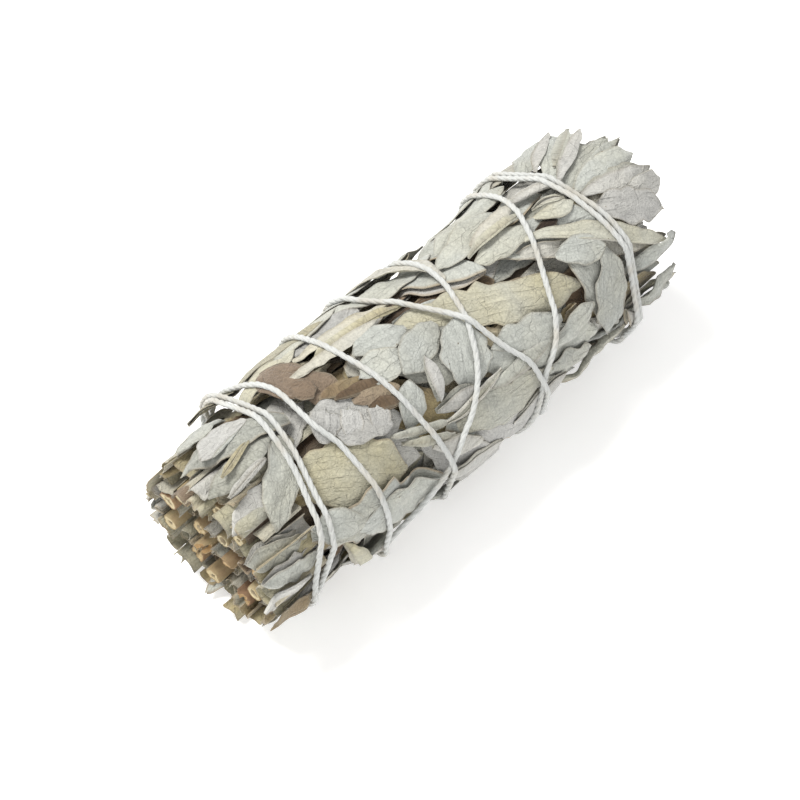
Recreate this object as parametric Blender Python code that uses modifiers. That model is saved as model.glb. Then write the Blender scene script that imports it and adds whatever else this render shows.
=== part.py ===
"""A white sage smudge stick: dried leafy sprigs laid side by side and bound with cotton string.

The bundle lies along X on its side, with the cut stems at -X and the leaf tips at +X.
Sizes are in millimetres and become metres as the meshes are made. An angle round the
bundle is 0 on top and grows towards -Y.
"""

import math
import random

import bmesh
import bpy
import numpy as np
from mathutils import Vector

MM = 0.001

# The packed middle of the bundle
CORE_START = -42.0
CORE_END = 38.0
CORE_RADIUS = 13.8
INNER_RADIUS = 6.85
OUTER_SPRIGS = 10
INNER_SPRIGS = 4
ARC_STEPS = 4
GAP = 0.3

# The round shoulder that the tips lean over
SHOULDER_START = 44.0
SHOULDER_LENGTH = 8.0
SHOULDER_DROP = 3.6

# Leaf blades
BLADE = 0.62
OWN_GAP = 0.08
LEAF_RADIUS = 16.0
STEEPEST = 0.3
ROOT_DEPTH = 0.42
CORE_ROOT_DEPTH = 1.3
ROOT_REACH = 2.2
ROOT_MOVES = 5
HIGHEST_LEAF = 19.0
HIGHEST_BENEATH = 16.6
MOST_HIDDEN = 0.25
CROSSING_ROUNDS = 5

# Leaves over the cut end stand off as they pass it, other than beneath
FLARE_START = -44.0
FLARE = 1.3
FLARE_LOWEST = -0.6

# Woody stems
STEM_SIDES = 8
STEM_END = 15.0
PITH_RADIUS = 0.5
PITH_DEPTH = 1.6
STEMS = (
    # angle in degrees, distance from the axis, radius, cut end
    (3, 10.7, 1.75, -49.9),
    (35, 11.0, 1.35, -50.7),
    (74, 10.4, 1.60, -50.3),
    (106, 10.4, 1.55, -51.6),
    (140, 10.7, 1.70, -51.3),
    (183, 9.8, 1.65, -51.7),
    (210, 10.8, 1.60, -50.5),
    (252, 10.8, 1.60, -51.9),
    (298, 10.6, 1.85, -52.2),
    (321, 10.6, 1.85, -51.5),
    (222, 3.7, 1.45, -51.5),
    (294, 3.9, 1.40, -50.9),
    (30, 3.7, 1.35, -50.5),
    (112, 3.6, 1.45, -51.3),
)

# Binding string
STRING_RADIUS = 0.65
STRING_STEPS = (16, 12, 8, 6, 4, 2)
FINE_STEP = 2
CHORD_SAG = 0.2
CHORD_SLACK = 0.1
REST_SQUASH = 0.4
REST_SPREAD = 15.0
KNOT_ANGLE = 220.0
KNOT_X = -40.4
KNOT_SIZE = (2.0, 1.7, 1.3)

# The string's route from its knot, round and round to the knot again: the winding angle,
# which only falls, and the place along the bundle.
ROUTE = (
    (218, -41.6), (180, -43.5), (150, -44.2), (113, -43.8), (95, -43.2), (71, -41.3), (55, -39.9),
    (39, -38.4), (23, -36.8), (4, -35.8), (-19, -34.9), (-51, -34.6), (-160, -31.2), (-240, -28.0),
    (-255, -26.7), (-262, -23.5), (-268, -19), (-275, -14.5), (-284, -11.3), (-292, -8.5),
    (-299, -5.5), (-306, -3.3), (-315, -0.5), (-324, 1.4), (-333, 2.7), (-350, 5.3), (-370, 7.2),
    (-393, 7.6), (-422, 6.8), (-540, 6.2), (-620, 8.5), (-645, 11.1), (-655, 14.2), (-665, 16.6),
    (-687, 20.3), (-708, 23.5), (-731, 26.5), (-755, 28.4), (-782, 28.8), (-830, 29.5), (-900, 33.6),
    (-980, 38.3), (-1026, 38.2), (-1049, 37.9), (-1078, 36.9), (-1110, 35.8), (-1137, 35.2),
    (-1200, 35.4), (-1260, 36.2), (-1340, 36.7), (-1386, 36.5), (-1409, 36.0), (-1438, 34.8),
    (-1470, 33.8), (-1497, 33.2), (-1560, 30.4), (-1620, 24.5), (-1696, 11.3), (-1716, 10.5),
    (-1738, 9.4), (-1757, 6.3), (-1783, 3.0), (-1805, -0.3), (-1827, -3.1), (-1850, -4.5),
    (-1980, -9), (-2056, -12.6), (-2083, -12.5), (-2111, -13.8), (-2143, -15.4), (-2185, -17),
    (-2214, -16.8), (-2340, -22), (-2416, -27.9), (-2434, -27.2), (-2491, -27.7), (-2511, -29.2),
    (-2535, -28.9), (-2571, -30.5), (-2670, -36), (-2767, -41.6), (-2801, -39.5), (-2823, -37.4),
    (-2838, -36.4), (-2850, -35.4), (-2868, -34.0), (-2893, -33.1), (-2927, -32.9), (-2970, -34),
    (-3018, -39.4),
)

# Leaves that stand out in the bundle: base x and angle, tip x and angle, width, keel
SHOWN_LEAVES = (
    (-7.5, -7, 27.9, 49, 9.5, 0.3),
    (-36, 25, -18.8, 68, 14.0, 0.2),
    (-29, -47, -20.6, 10, 8.5, 0.7),
    (-28, 12, -18.4, 37, 8.5, 0.8),
    (-17, -16, -6.7, 10, 8.5, 0.6),
    (20.5, 5, 48, 62, 6.5, 0.8),
    (26, 36, 33, 98, 9.5, 0.7),
    (-13, 8, 5, 46, 11.0, 0.2),
    (-40, 60, -12, 96, 11.0, 0.4),
    (2, 52, 27, 84, 10.0, 0.6),
    (9, -52, 34, -14, 9.5, 0.5),
)

LEAF_STATIONS = (0.0, 0.14, 0.42, 0.76, 1.0)
LEAF_WIDTHS = (0.20, 0.62, 1.0, 0.86, 0.30)
BED_STATIONS = (0.0, 0.16, 0.62, 1.0)
BED_WIDTHS = (0.25, 0.85, 1.0, 0.42)


def clear_scene():
    for item in list(bpy.data.objects):
        bpy.data.objects.remove(item, do_unlink=True)


def material(name, colour, roughness):
    made = bpy.data.materials.new(name)
    made.use_nodes = True
    shader = made.node_tree.nodes["Principled BSDF"]
    shader.inputs["Base Color"].default_value = (*colour, 1.0)
    shader.inputs["Roughness"].default_value = roughness
    shader.inputs["Metallic"].default_value = 0.0
    return made


def collection(name, parent=None):
    made = bpy.data.collections.new(name)
    (parent or bpy.context.scene.collection).children.link(made)
    return made


def round_axis(x, angle, radius):
    """Points at a radius round the bundle's axis, with angles in radians."""
    return np.stack([x, -radius * np.sin(angle), radius * np.cos(angle)], axis=-1)


class Surface:
    """The outer radius of all that is laid so far, and whose it is, over x and angle."""

    X_CELL = 0.5
    ANGLE_CELL = 2.0
    X_FIRST = -58.0
    X_COUNT = 240
    REACH = 1

    def __init__(self):
        self.x = self.X_FIRST + self.X_CELL * (np.arange(self.X_COUNT) + 0.5)
        self.angle = self.ANGLE_CELL * (np.arange(int(360 / self.ANGLE_CELL)) + 0.5)
        shoulder = np.clip((self.x - SHOULDER_START) / SHOULDER_LENGTH, 0, 1.4) ** 2
        bed = CORE_RADIUS - SHOULDER_DROP * shoulder
        self.radius = np.repeat(bed[:, None], len(self.angle), axis=1)
        sector = np.round(self.angle * OUTER_SPRIGS / 360).astype(int) % OUTER_SPRIGS
        within = (self.x > CORE_START + 0.5) & (self.x < CORE_END - 0.5)
        self.owner = np.where(within[:, None], sector[None, :], -1)
        self.shown = np.zeros(self.owner.shape, bool)

    def cells(self, x, angle):
        along = np.clip(((x - self.X_FIRST) / self.X_CELL).astype(int), 0, self.X_COUNT - 1)
        turned = np.degrees(angle) % 360
        return along, (turned / self.ANGLE_CELL).astype(int) % len(self.angle)

    def widened(self, grid):
        wide = grid
        for axis in (0, 1):
            line = wide
            for step in range(1, self.REACH + 1):
                line = np.maximum(line, np.roll(wide, step, axis))
                line = np.maximum(line, np.roll(wide, -step, axis))
            wide = line
        return wide

    def least_radius(self, own):
        """How low a blade of this sprig may lie."""
        return self.widened(self.radius + np.where(self.owner == own, OWN_GAP, GAP))

    def cover(self, points, own, shown):
        """Raises the surface to these points of a new blade's upper side."""
        radius = np.hypot(points[:, 1], points[:, 2])
        cell = self.cells(points[:, 0], np.arctan2(-points[:, 1], points[:, 2]))
        self.shown[cell] |= shown
        order = np.argsort(radius)
        cell = (cell[0][order], cell[1][order])
        radius = radius[order]
        above = radius > self.radius[cell]
        cell = (cell[0][above], cell[1][above])
        self.radius[cell] = radius[above]
        self.owner[cell] = own

    def root_at(self, x, angle, turn):
        """The sprig that alone shows along a leaf's first few millimetres, how low its root
        may go there, or None."""
        along = np.linspace(-0.8, ROOT_REACH, 9)[:, None]
        across = np.linspace(-1.2, 1.2, 5)[None, :]
        xs = x + along * math.cos(turn) - across * math.sin(turn)
        angles = angle + (along * math.sin(turn) + across * math.cos(turn)) / LEAF_RADIUS
        cell = self.cells(xs, angles)
        owners = np.unique(self.owner[cell])
        if len(owners) > 1 or owners[0] < 0:
            return None
        first = self.radius[cell][:4]
        if np.ptp(first) > 0.6:
            return None
        on_core = first.max() < CORE_RADIUS + 0.05
        depth = CORE_ROOT_DEPTH if on_core else ROOT_DEPTH
        return int(owners[0]), float(first.min()) - depth


def barycentric(count):
    rows = [(i, j, count - i - j) for i in range(count + 1) for j in range(count + 1 - i)]
    return np.array(rows, float) / count


COARSE = barycentric(12)
DENSE = barycentric(26)


def grid_triangles(rows, columns):
    """A blade's triangles, split the same way on both of its faces."""
    faces = []
    for i in range(rows - 1):
        for j in range(columns - 1):
            a = i * columns + j
            b, c, d = a + columns, a + columns + 1, a + 1
            faces += [(a, b, c), (a, c, d)] if (i + j) % 2 else [(a, b, d), (b, c, d)]
    return np.array(faces)


def rim_of(rows, columns):
    top = [j for j in range(columns)]
    right = [i * columns + columns - 1 for i in range(1, rows)]
    bottom = [(rows - 1) * columns + j for j in range(columns - 2, -1, -1)]
    left = [i * columns for i in range(rows - 2, 0, -1)]
    return top + right + bottom + left


def blade_mesh(name, lower, upper):
    """A closed blade between two like grids of points, each with rows and columns."""
    rows, columns = lower.shape[:2]
    count = rows * columns
    mesh = bpy.data.meshes.new(name)
    faces = grid_triangles(rows, columns)
    shell = [tuple(int(i) for i in face) for face in faces]
    shell += [tuple(int(i) + count for i in face[::-1]) for face in faces]
    rim = rim_of(rows, columns)
    for here, after in zip(rim, rim[1:] + rim[:1]):
        shell += [(here, after, after + count), (here, after + count, here + count)]
    points = np.concatenate([lower.reshape(-1, 3), upper.reshape(-1, 3)]) * MM
    mesh.from_pydata(points.tolist(), [], shell)
    build = bmesh.new()
    build.from_mesh(mesh)
    bmesh.ops.recalc_face_normals(build, faces=build.faces)
    build.to_mesh(mesh)
    build.free()
    return mesh


def raise_clear(x, angle, radius, need, surface, fixed_rows):
    """Lifts a blade's lower grid until each of its flat triangles clears what lies below."""
    faces = grid_triangles(*radius.shape)
    weights = COARSE[None, :, :]
    for _ in range(40):
        corners = round_axis(x, angle, radius).reshape(-1, 3)[faces]
        points = np.einsum("fsk,fkd->fsd", np.repeat(weights, len(faces), 0), corners)
        lying = np.hypot(points[..., 1], points[..., 2])
        cell = surface.cells(points[..., 0], np.arctan2(-points[..., 1], points[..., 2]))
        short = need[cell] - lying
        if fixed_rows:
            on_root = (faces < fixed_rows * radius.shape[1]).any(axis=1)
            short[on_root] = 0
        if short.max() < 0.01:
            break
        raised = np.zeros(radius.size)
        for face, lack in zip(faces, short):
            worst = int(lack.argmax())
            share = COARSE[worst]
            lift = max(lack[worst], 0.0) * share / (share @ share)
            raised[face] = np.maximum(raised[face], lift)
        radius = radius + raised.reshape(radius.shape)
    return radius


def rooted(plan, surface):
    """Moves a leaf's base to the nearest place where it can root, with its tip kept."""
    x, angle, tip_x, tip_angle = plan[:4]
    steps = range(-ROOT_MOVES, ROOT_MOVES + 1)
    moves = sorted(((i, j) for i in steps for j in steps), key=lambda m: m[0] ** 2 + m[1] ** 2)
    for along, aside in moves:
        base_x = x + along
        base_angle = angle + aside / LEAF_RADIUS
        across = (tip_angle - base_angle) * LEAF_RADIUS
        turn = math.atan2(across, tip_x - base_x)
        found = surface.root_at(base_x, base_angle, turn)
        if found:
            return base_x, base_angle, turn, math.hypot(across, tip_x - base_x), *found
    return None


def leaf(plan, stations, widths, surface, rng, shown):
    """One blade laid on the bundle: its sprig and its mesh, or None where it can't lie."""
    width, keel = plan[4:]
    found = rooted(plan, surface)
    if found is None:
        return None
    x, angle, turn, length, own, low = found
    along = np.array(stations)[:, None] * length
    half = width / 2 * np.array(widths)[:, None]
    half = half * np.array([[rng.uniform(0.9, 1.08)] for _ in stations])
    across = half * np.array([[-1.0, 0.0, 1.0]])
    xs = x + along * math.cos(turn) - across * math.sin(turn)
    angles = angle + (along * math.sin(turn) + across * math.cos(turn)) / LEAF_RADIUS
    need = surface.least_radius(own)
    radius = need[surface.cells(xs, angles)].copy()
    spacing = np.diff(along[:, 0])
    for _ in range(4):
        for row, gap in enumerate(spacing):
            radius[row] = np.maximum(radius[row], radius[row + 1] - STEEPEST * gap)
            radius[row + 1] = np.maximum(radius[row + 1], radius[row] - STEEPEST * gap)
    radius[1:-1, 1] += keel * rng.uniform(0.2, 0.5)
    radius[0] = low
    radius = raise_clear(xs, angles, radius, need, surface, 1)
    radius[0] = low
    if xs[-1, 1] < FLARE_START and math.cos(angles[-1, 1]) > FLARE_LOWEST:
        radius[-1] += FLARE
    lower = round_axis(xs, angles, radius)
    upper = round_axis(xs, angles, radius + BLADE)
    corners = upper.reshape(-1, 3)[grid_triangles(*radius.shape)]
    on_top = np.einsum("sk,fkd->fsd", DENSE, corners).reshape(-1, 3)
    around = np.arctan2(-on_top[:, 1], on_top[:, 2])
    height = np.hypot(on_top[:, 1], on_top[:, 2])
    beneath = np.abs(np.degrees(around) % 360 - 180) < 40
    too_high = height.max() > HIGHEST_LEAF or (height[beneath] > HIGHEST_BENEATH).any()
    hides = surface.shown[surface.cells(on_top[:, 0], around)].mean()
    if not shown and (too_high or hides > MOST_HIDDEN):
        return None
    surface.cover(on_top, own, shown)
    return own, blade_mesh("blade", lower, upper)


def sprig_angle(sprig, aside):
    return 2 * math.pi / OUTER_SPRIGS * (sprig + aside)


def bed_leaves(rng):
    """Leaves that lie straight along their own sprig."""
    plans = []
    for start in (-41.0, -25.0, -9.0, 9.0):
        for sprig in range(OUTER_SPRIGS):
            x = start + rng.uniform(-2, 2)
            angle = sprig_angle(sprig, rng.uniform(-0.05, 0.05))
            tip = angle + math.radians(rng.uniform(-3, 3))
            plans.append((x, angle, x + 27, tip, 7.6, rng.uniform(0.1, 0.5)))
    return sorted(plans, key=lambda plan: -plan[0])


def end_leaves(rng):
    """Tips that fan out past the string, and leaves bent back over the cut ends."""
    plans = []
    for place in range(OUTER_SPRIGS * 2):
        aside = 0.16 if place % 2 else -0.16
        angle = sprig_angle(place // 2, aside + rng.uniform(-0.08, 0.08))
        x = rng.uniform(24, 33)
        tip = angle + math.radians(rng.uniform(-8, 28))
        width = rng.uniform(6.5, 9.0)
        plans.append((x, angle, rng.uniform(48, 53), tip, width, rng.uniform(0.2, 0.9)))
        x = rng.uniform(-36, -29)
        tip = angle + math.radians(rng.uniform(-16, 16))
        width = rng.uniform(5.5, 8.0)
        plans.append((x, angle, rng.uniform(-52, -47), tip, width, rng.uniform(0.2, 0.9)))
    return plans


def crossing_leaves(rng):
    """Leaves that lean over their neighbours, each with its base under the one before."""
    plans = []
    for start in (-38.0, -28.0, -17.0, -6.0, 5.0, 15.0):
        for sprig in range(OUTER_SPRIGS):
            x = start + rng.uniform(-4, 4)
            angle = sprig_angle(sprig, rng.uniform(-0.4, 0.4))
            turn = math.radians(rng.gauss(24, 14))
            length = rng.uniform(18, 30)
            tip = angle + length * math.sin(turn) / LEAF_RADIUS
            width = rng.uniform(7.0, 11.0)
            tip_x = x + length * math.cos(turn)
            plans.append((x, angle, tip_x, tip, width, rng.uniform(0.1, 0.8)))
    return sorted(plans, key=lambda plan: -plan[0])


def shown_leaves():
    plans = []
    for x, angle, tip_x, tip_angle, width, keel in SHOWN_LEAVES:
        plans.append((x, math.radians(angle), tip_x, math.radians(tip_angle), width, keel))
    return plans


def laid_leaves(surface):
    """Every draped blade, as meshes for each sprig."""
    rng = random.Random(41)
    meshes = {sprig: [] for sprig in range(OUTER_SPRIGS)}
    layers = [
        (bed_leaves(rng), BED_STATIONS, BED_WIDTHS, False),
        (shown_leaves(), LEAF_STATIONS, LEAF_WIDTHS, True),
        (end_leaves(rng), BED_STATIONS, BED_WIDTHS, False),
        (end_leaves(rng), BED_STATIONS, BED_WIDTHS, False),
    ]
    for _ in range(CROSSING_ROUNDS):
        layers.append((crossing_leaves(rng), LEAF_STATIONS, LEAF_WIDTHS, False))
    for plans, stations, widths, shown in layers:
        laid = 0
        for plan in plans:
            made = leaf(plan, stations, widths, surface, rng, shown)
            if made:
                meshes[made[0]].append(made[1])
                laid += 1
        print(laid, "of", len(plans), "leaves laid")
    return meshes


def end_blade(angle, radius, start, end, width, lean, rng):
    """A leaf seen end on, rooted in the core's end face."""
    along = np.linspace(start, end, 3)[:, None]
    half = width / 2 * np.array([[0.9], [1.0], [rng.uniform(0.35, 0.75)]])
    across = half * np.array([[-1.0, 0.0, 1.0]])
    reach = np.linspace(0, 1, 3)[:, None]
    out = radius + lean * reach + rng.uniform(-0.5, 0.5) * reach * np.array([[1.0, 0.0, 1.0]])
    angles = angle + across / radius
    xs = np.repeat(along, 3, axis=1) + rng.uniform(-1, 1) * np.array([[0, 0, 0], [0, 0, 0], [-1, 0, 1]])
    lower = round_axis(xs, angles, out - BLADE / 2)
    upper = round_axis(xs, angles, out + BLADE / 2)
    return blade_mesh("blade", lower, upper)


def outer_end_blades(sprig, rng):
    middle = math.radians(360 / OUTER_SPRIGS * sprig)
    aside = math.radians(rng.uniform(-3, 3))
    blades = []
    for radius, width in ((10.4, 4.2), (8.4, 3.4)):
        tip = rng.uniform(49, 52)
        blades.append(end_blade(middle + aside, radius, CORE_END - 2.5, tip, width, 0.3, rng))
    cut = rng.uniform(-51, -47.5)
    blades.append(end_blade(middle + aside, 12.6, CORE_START + 2.5, cut, 5.4, 0.0, rng))
    cut = rng.uniform(-50.5, -47)
    blades.append(end_blade(middle, 7.9, CORE_START + 2.5, cut, 3.4, 0.0, rng))
    return blades


def inner_end_blades(sprig, rng):
    middle = math.radians(360 / INNER_SPRIGS * (sprig + 0.5))
    blades = []
    for radius, width in ((5.6, 5.4), (3.3, 2.9)):
        tip = rng.uniform(49, 52.5)
        blades.append(end_blade(middle, radius, CORE_END - 2.5, tip, width, 0.2, rng))
    cut = rng.uniform(-50.5, -47)
    blades.append(end_blade(middle, 6.2, CORE_START + 2.5, cut, 5.2, 0.0, rng))
    return blades


def sector_core(name, middle, spread, inner, outer):
    """A wedge of packed leaf between two radii, with half a gap left on every side."""
    ring = []
    for radius, order in ((outer, 1), (max(inner, 0.6), -1)):
        steps = ARC_STEPS if radius > 1 else 1
        half = spread / 2 - math.asin(GAP / 2 / radius)
        turns = np.linspace(-half, half, steps + 1)[::order]
        ring += [round_axis(0.0, middle + turn, radius) for turn in turns]
    build = bmesh.new()
    corners = [build.verts.new(Vector(point) * MM) for point in ring]
    for corner in corners:
        corner.co.x = CORE_START * MM
    face = build.faces.new(corners)
    grown = bmesh.ops.extrude_face_region(build, geom=[face])
    for item in grown["geom"]:
        if isinstance(item, bmesh.types.BMVert):
            item.co.x = CORE_END * MM
    bmesh.ops.triangulate(build, faces=build.faces)
    bmesh.ops.recalc_face_normals(build, faces=build.faces)
    mesh = bpy.data.meshes.new(name)
    build.to_mesh(mesh)
    build.free()
    return mesh


def largest_island(mesh):
    """Leaves only the mesh's largest closed body, which drops scraps and fills hollows."""
    build = bmesh.new()
    build.from_mesh(mesh)
    bmesh.ops.triangulate(build, faces=build.faces)
    unseen = set(build.faces)
    islands = []
    while unseen:
        queue = [unseen.pop()]
        island = list(queue)
        while queue:
            for edge in queue.pop().edges:
                for face in edge.link_faces:
                    if face in unseen:
                        unseen.remove(face)
                        queue.append(face)
                        island.append(face)
        islands.append(island)
    largest = max(islands, key=len)
    dropped = [face for island in islands if island is not largest for face in island]
    bmesh.ops.delete(build, geom=dropped, context="FACES")
    build.to_mesh(mesh)
    build.free()
    return len(islands) - 1


def evaluated_mesh(item):
    bpy.context.view_layer.update()
    graph = bpy.context.evaluated_depsgraph_get()
    return bpy.data.meshes.new_from_object(item.evaluated_get(graph))


def boolean(item, operation, others):
    joined = item.modifiers.new(operation.title(), "BOOLEAN")
    joined.operation = operation
    joined.operand_type = "COLLECTION"
    joined.collection = others
    joined.solver = "MANIFOLD"


def fused(name, first, pieces, cutters, home):
    """One object from a first mesh joined with others, with the cutters taken out of it."""
    group = collection(name + "_pieces", home)
    for mesh in pieces:
        group.objects.link(bpy.data.objects.new("piece", mesh))
    item = bpy.data.objects.new(name, first)
    home.objects.link(item)
    boolean(item, "UNION", group)
    if cutters:
        boolean(item, "DIFFERENCE", cutters)
    mesh = evaluated_mesh(item)
    dropped = largest_island(mesh)
    if dropped:
        print(name, "dropped", dropped)
    item.modifiers.clear()
    item.data = mesh
    for piece in list(group.objects):
        bpy.data.objects.remove(piece, do_unlink=True)
    bpy.data.collections.remove(group)
    return item


def stem_place(item, angle, distance):
    """Turns a piece made along Z to lie along X at its place in the bundle."""
    item.rotation_euler = (0.0, math.radians(90), 0.0)
    item.location = Vector(round_axis(0.0, math.radians(angle), distance)) * MM


def stem_channels(home):
    """The straight ways that the stems take through the packed leaves."""
    cutters = collection("stem_channels", home)
    for angle, distance, radius, _ in STEMS:
        wide = (radius + GAP) / math.cos(math.pi / STEM_SIDES) + 0.05
        build = bmesh.new()
        bmesh.ops.create_cone(
            build, cap_ends=True, segments=STEM_SIDES, radius1=wide * MM, radius2=wide * MM,
            depth=(STEM_END + GAP + 60) * MM,
        )
        mesh = bpy.data.meshes.new("stem_channel")
        build.to_mesh(mesh)
        build.free()
        cutter = bpy.data.objects.new("stem_channel", mesh)
        cutters.objects.link(cutter)
        stem_place(cutter, angle, distance)
        cutter.location.x = (STEM_END + GAP - 60) / 2 * MM
        cutter.hide_render = True
        cutter.display_type = "WIRE"
    return cutters


def make_stem(number, angle, distance, radius, cut_end, bark, home):
    """A tapered woody stem with its pith sunk in at the cut end."""
    profile = (
        (0.0, cut_end + PITH_DEPTH),
        (PITH_RADIUS, cut_end + PITH_DEPTH),
        (PITH_RADIUS, cut_end),
        (radius * 0.97, cut_end),
        (radius, cut_end + 3.0),
        (radius * 0.62, STEM_END),
        (0.0, STEM_END),
    )
    mesh = bpy.data.meshes.new(f"stem_{number:02d}")
    points = [(out * MM, 0.0, up * MM) for out, up in profile]
    mesh.from_pydata(points, [(i, i + 1) for i in range(len(points) - 1)], [])
    item = bpy.data.objects.new(mesh.name, mesh)
    home.objects.link(item)
    turned = item.modifiers.new("Turned", "SCREW")
    turned.steps = STEM_SIDES
    turned.render_steps = STEM_SIDES
    turned.use_merge_vertices = True
    turned.merge_threshold = 0.00001
    turned.use_normal_calculate = True
    item.data = evaluated_mesh(item)
    item.modifiers.clear()
    build = bmesh.new()
    build.from_mesh(item.data)
    bmesh.ops.remove_doubles(build, verts=build.verts, dist=0.00001)
    bmesh.ops.recalc_face_normals(build, faces=build.faces)
    build.to_mesh(item.data)
    build.free()
    stem_place(item, angle, distance)
    item.data.materials.append(bark)
    return item


def make_stems(bark, home):
    for number, stem in enumerate(STEMS, 1):
        make_stem(number, *stem, bark, home)


def through(points, at):
    """A smooth curve through points of (place, value), with no overshoot between them."""
    place, value = np.array(points, float).T
    place = -place
    at = -at
    rise = np.diff(value) / np.diff(place)
    slope = np.zeros(len(place))
    same = rise[:-1] * rise[1:] > 0
    mean = 2 * rise[:-1] * rise[1:] / np.where(same, rise[:-1] + rise[1:], 1)
    slope[1:-1] = np.where(same, mean, 0)
    slope[0], slope[-1] = rise[0], rise[-1]
    i = np.clip(np.searchsorted(place, at, "right") - 1, 0, len(rise) - 1)
    span = place[i + 1] - place[i]
    t = (at - place[i]) / span
    start = value[i] * (1 + 2 * t) * (1 - t) ** 2 + slope[i] * span * t * (1 - t) ** 2
    finish = value[i + 1] * t * t * (3 - 2 * t) + slope[i + 1] * span * t * t * (t - 1)
    return start + finish


def pulled_taut(radius):
    """Bridges the hollows of a line round the axis as a taut string does."""
    for _ in range(60):
        for step in (1, 2, 4, 8, 12):
            before, after = radius[:-2 * step], radius[2 * step:]
            turn = math.cos(math.radians(FINE_STEP * step))
            chord = 2 * turn * before * after / (before + after)
            radius[step:-step] = np.maximum(radius[step:-step], chord)
    return radius


def string_line(surface):
    """The points of the string's middle line."""
    turn = np.arange(ROUTE[0][0], ROUTE[-1][0] - 0.5, -FINE_STEP, dtype=float)
    x = through(ROUTE, turn)
    need = surface.least_radius(-2)
    base = need[surface.cells(x, np.radians(turn))] + STRING_RADIUS + CHORD_SAG
    aslant = turn % 360 - 180
    beneath = np.abs(aslant) < REST_SPREAD
    upright = np.cos(np.radians(aslant[beneath]))
    base[beneath] = (base[beneath] * upright).max() / upright
    radius = pulled_taut(base.copy())
    clear = 2 * STRING_RADIUS + GAP
    half_turn = int(180 / FINE_STEP)
    for _ in range(3):
        for i in range(half_turn, len(turn)):
            early = slice(0, i - half_turn)
            aside = np.radians((turn[i] - turn[early] + 180) % 360 - 180) * LEAF_RADIUS * 1.1
            apart = np.hypot(x[i] - x[early], aside)
            near = apart < clear
            if near.any():
                over = radius[early][near] + np.sqrt(clear**2 - apart[near] ** 2)
                radius[i] = max(radius[i], over.max())
        radius = pulled_taut(radius)
    over = radius > pulled_taut(base.copy()) + CHORD_SLACK
    least = np.where(over, radius, base) - CHORD_SAG - CHORD_SLACK
    return kept_points(round_axis(x, np.radians(turn), radius), least)


def kept_points(points, least):
    """The fewest points whose straight runs stay out at the least radius."""
    kept = [0]
    while kept[-1] < len(points) - 1:
        here = kept[-1]
        for step in STRING_STEPS:
            after = min(here + step // FINE_STEP, len(points) - 1)
            share = np.linspace(0, 1, after - here + 1)[:, None]
            run = points[here] * (1 - share) + points[after] * share
            if (np.hypot(run[:, 1], run[:, 2]) >= least[here:after + 1]).all():
                break
        kept.append(after)
    return points[kept]


def tube(name, points, home):
    line = bpy.data.curves.new(name, "CURVE")
    line.dimensions = "3D"
    line.bevel_depth = STRING_RADIUS * MM
    line.bevel_resolution = 1
    line.use_fill_caps = True
    spline = line.splines.new("POLY")
    spline.points.add(len(points) - 1)
    for place, point in zip(spline.points, points):
        place.co = (*(Vector(point) * MM), 1.0)
    item = bpy.data.objects.new(name, line)
    home.objects.link(item)
    mesh = evaluated_mesh(item)
    bpy.data.objects.remove(item, do_unlink=True)
    build = bmesh.new()
    build.from_mesh(mesh)
    bmesh.ops.remove_doubles(build, verts=build.verts, dist=0.00001)
    bmesh.ops.triangulate(build, faces=build.faces)
    bmesh.ops.recalc_face_normals(build, faces=build.faces)
    build.to_mesh(mesh)
    build.free()
    return mesh


def knot_mesh(radius):
    build = bmesh.new()
    bmesh.ops.create_uvsphere(build, u_segments=8, v_segments=6, radius=1.0)
    angle = math.radians(KNOT_ANGLE)
    middle = Vector(round_axis(KNOT_X, angle, radius))
    out = Vector(round_axis(0.0, angle, 1.0))
    side = out.cross(Vector((1, 0, 0)))
    for corner in build.verts:
        a, b, c = (corner.co[i] * KNOT_SIZE[i] for i in range(3))
        corner.co = (middle + Vector((1, 0, 0)) * a + side * b + out * c) * MM
    bmesh.ops.recalc_face_normals(build, faces=build.faces)
    mesh = bpy.data.meshes.new("knot")
    build.to_mesh(mesh)
    build.free()
    return mesh


def tail_line(surface, side, reach, start_radius):
    """A short free end of the string, from the knot down onto the leaves."""
    along = np.linspace(0.0, 1, 5)
    angles = np.radians(KNOT_ANGLE) + side * along * reach / start_radius
    xs = KNOT_X + side * 1.2 * along + 1.6 * along**2
    lying = surface.least_radius(-2)[surface.cells(xs, angles)] + STRING_RADIUS + CHORD_SAG
    radius = np.maximum(lying, start_radius + 1.4 - 1.4 * along)
    radius[0] = start_radius + 0.4
    return round_axis(xs, angles, radius)


def make_string(surface, cotton, home):
    points = string_line(surface)
    length = np.linalg.norm(np.diff(points, axis=0), axis=1).sum()
    print(f"string {length:.0f} mm, {len(points)} points")
    main = tube("binding_string", points, home)
    ends = np.hypot(points[[0, -1], 1], points[[0, -1], 2])
    knot_radius = float(ends.mean())
    pieces = [knot_mesh(knot_radius + 0.2)]
    for side, reach in ((-1, 6.5), (1, 8.0)):
        pieces.append(tube("tail", tail_line(surface, side, reach, knot_radius), home))
    item = fused("binding_string", main, pieces, None, home)
    item.data.materials.append(cotton)
    return item


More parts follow.
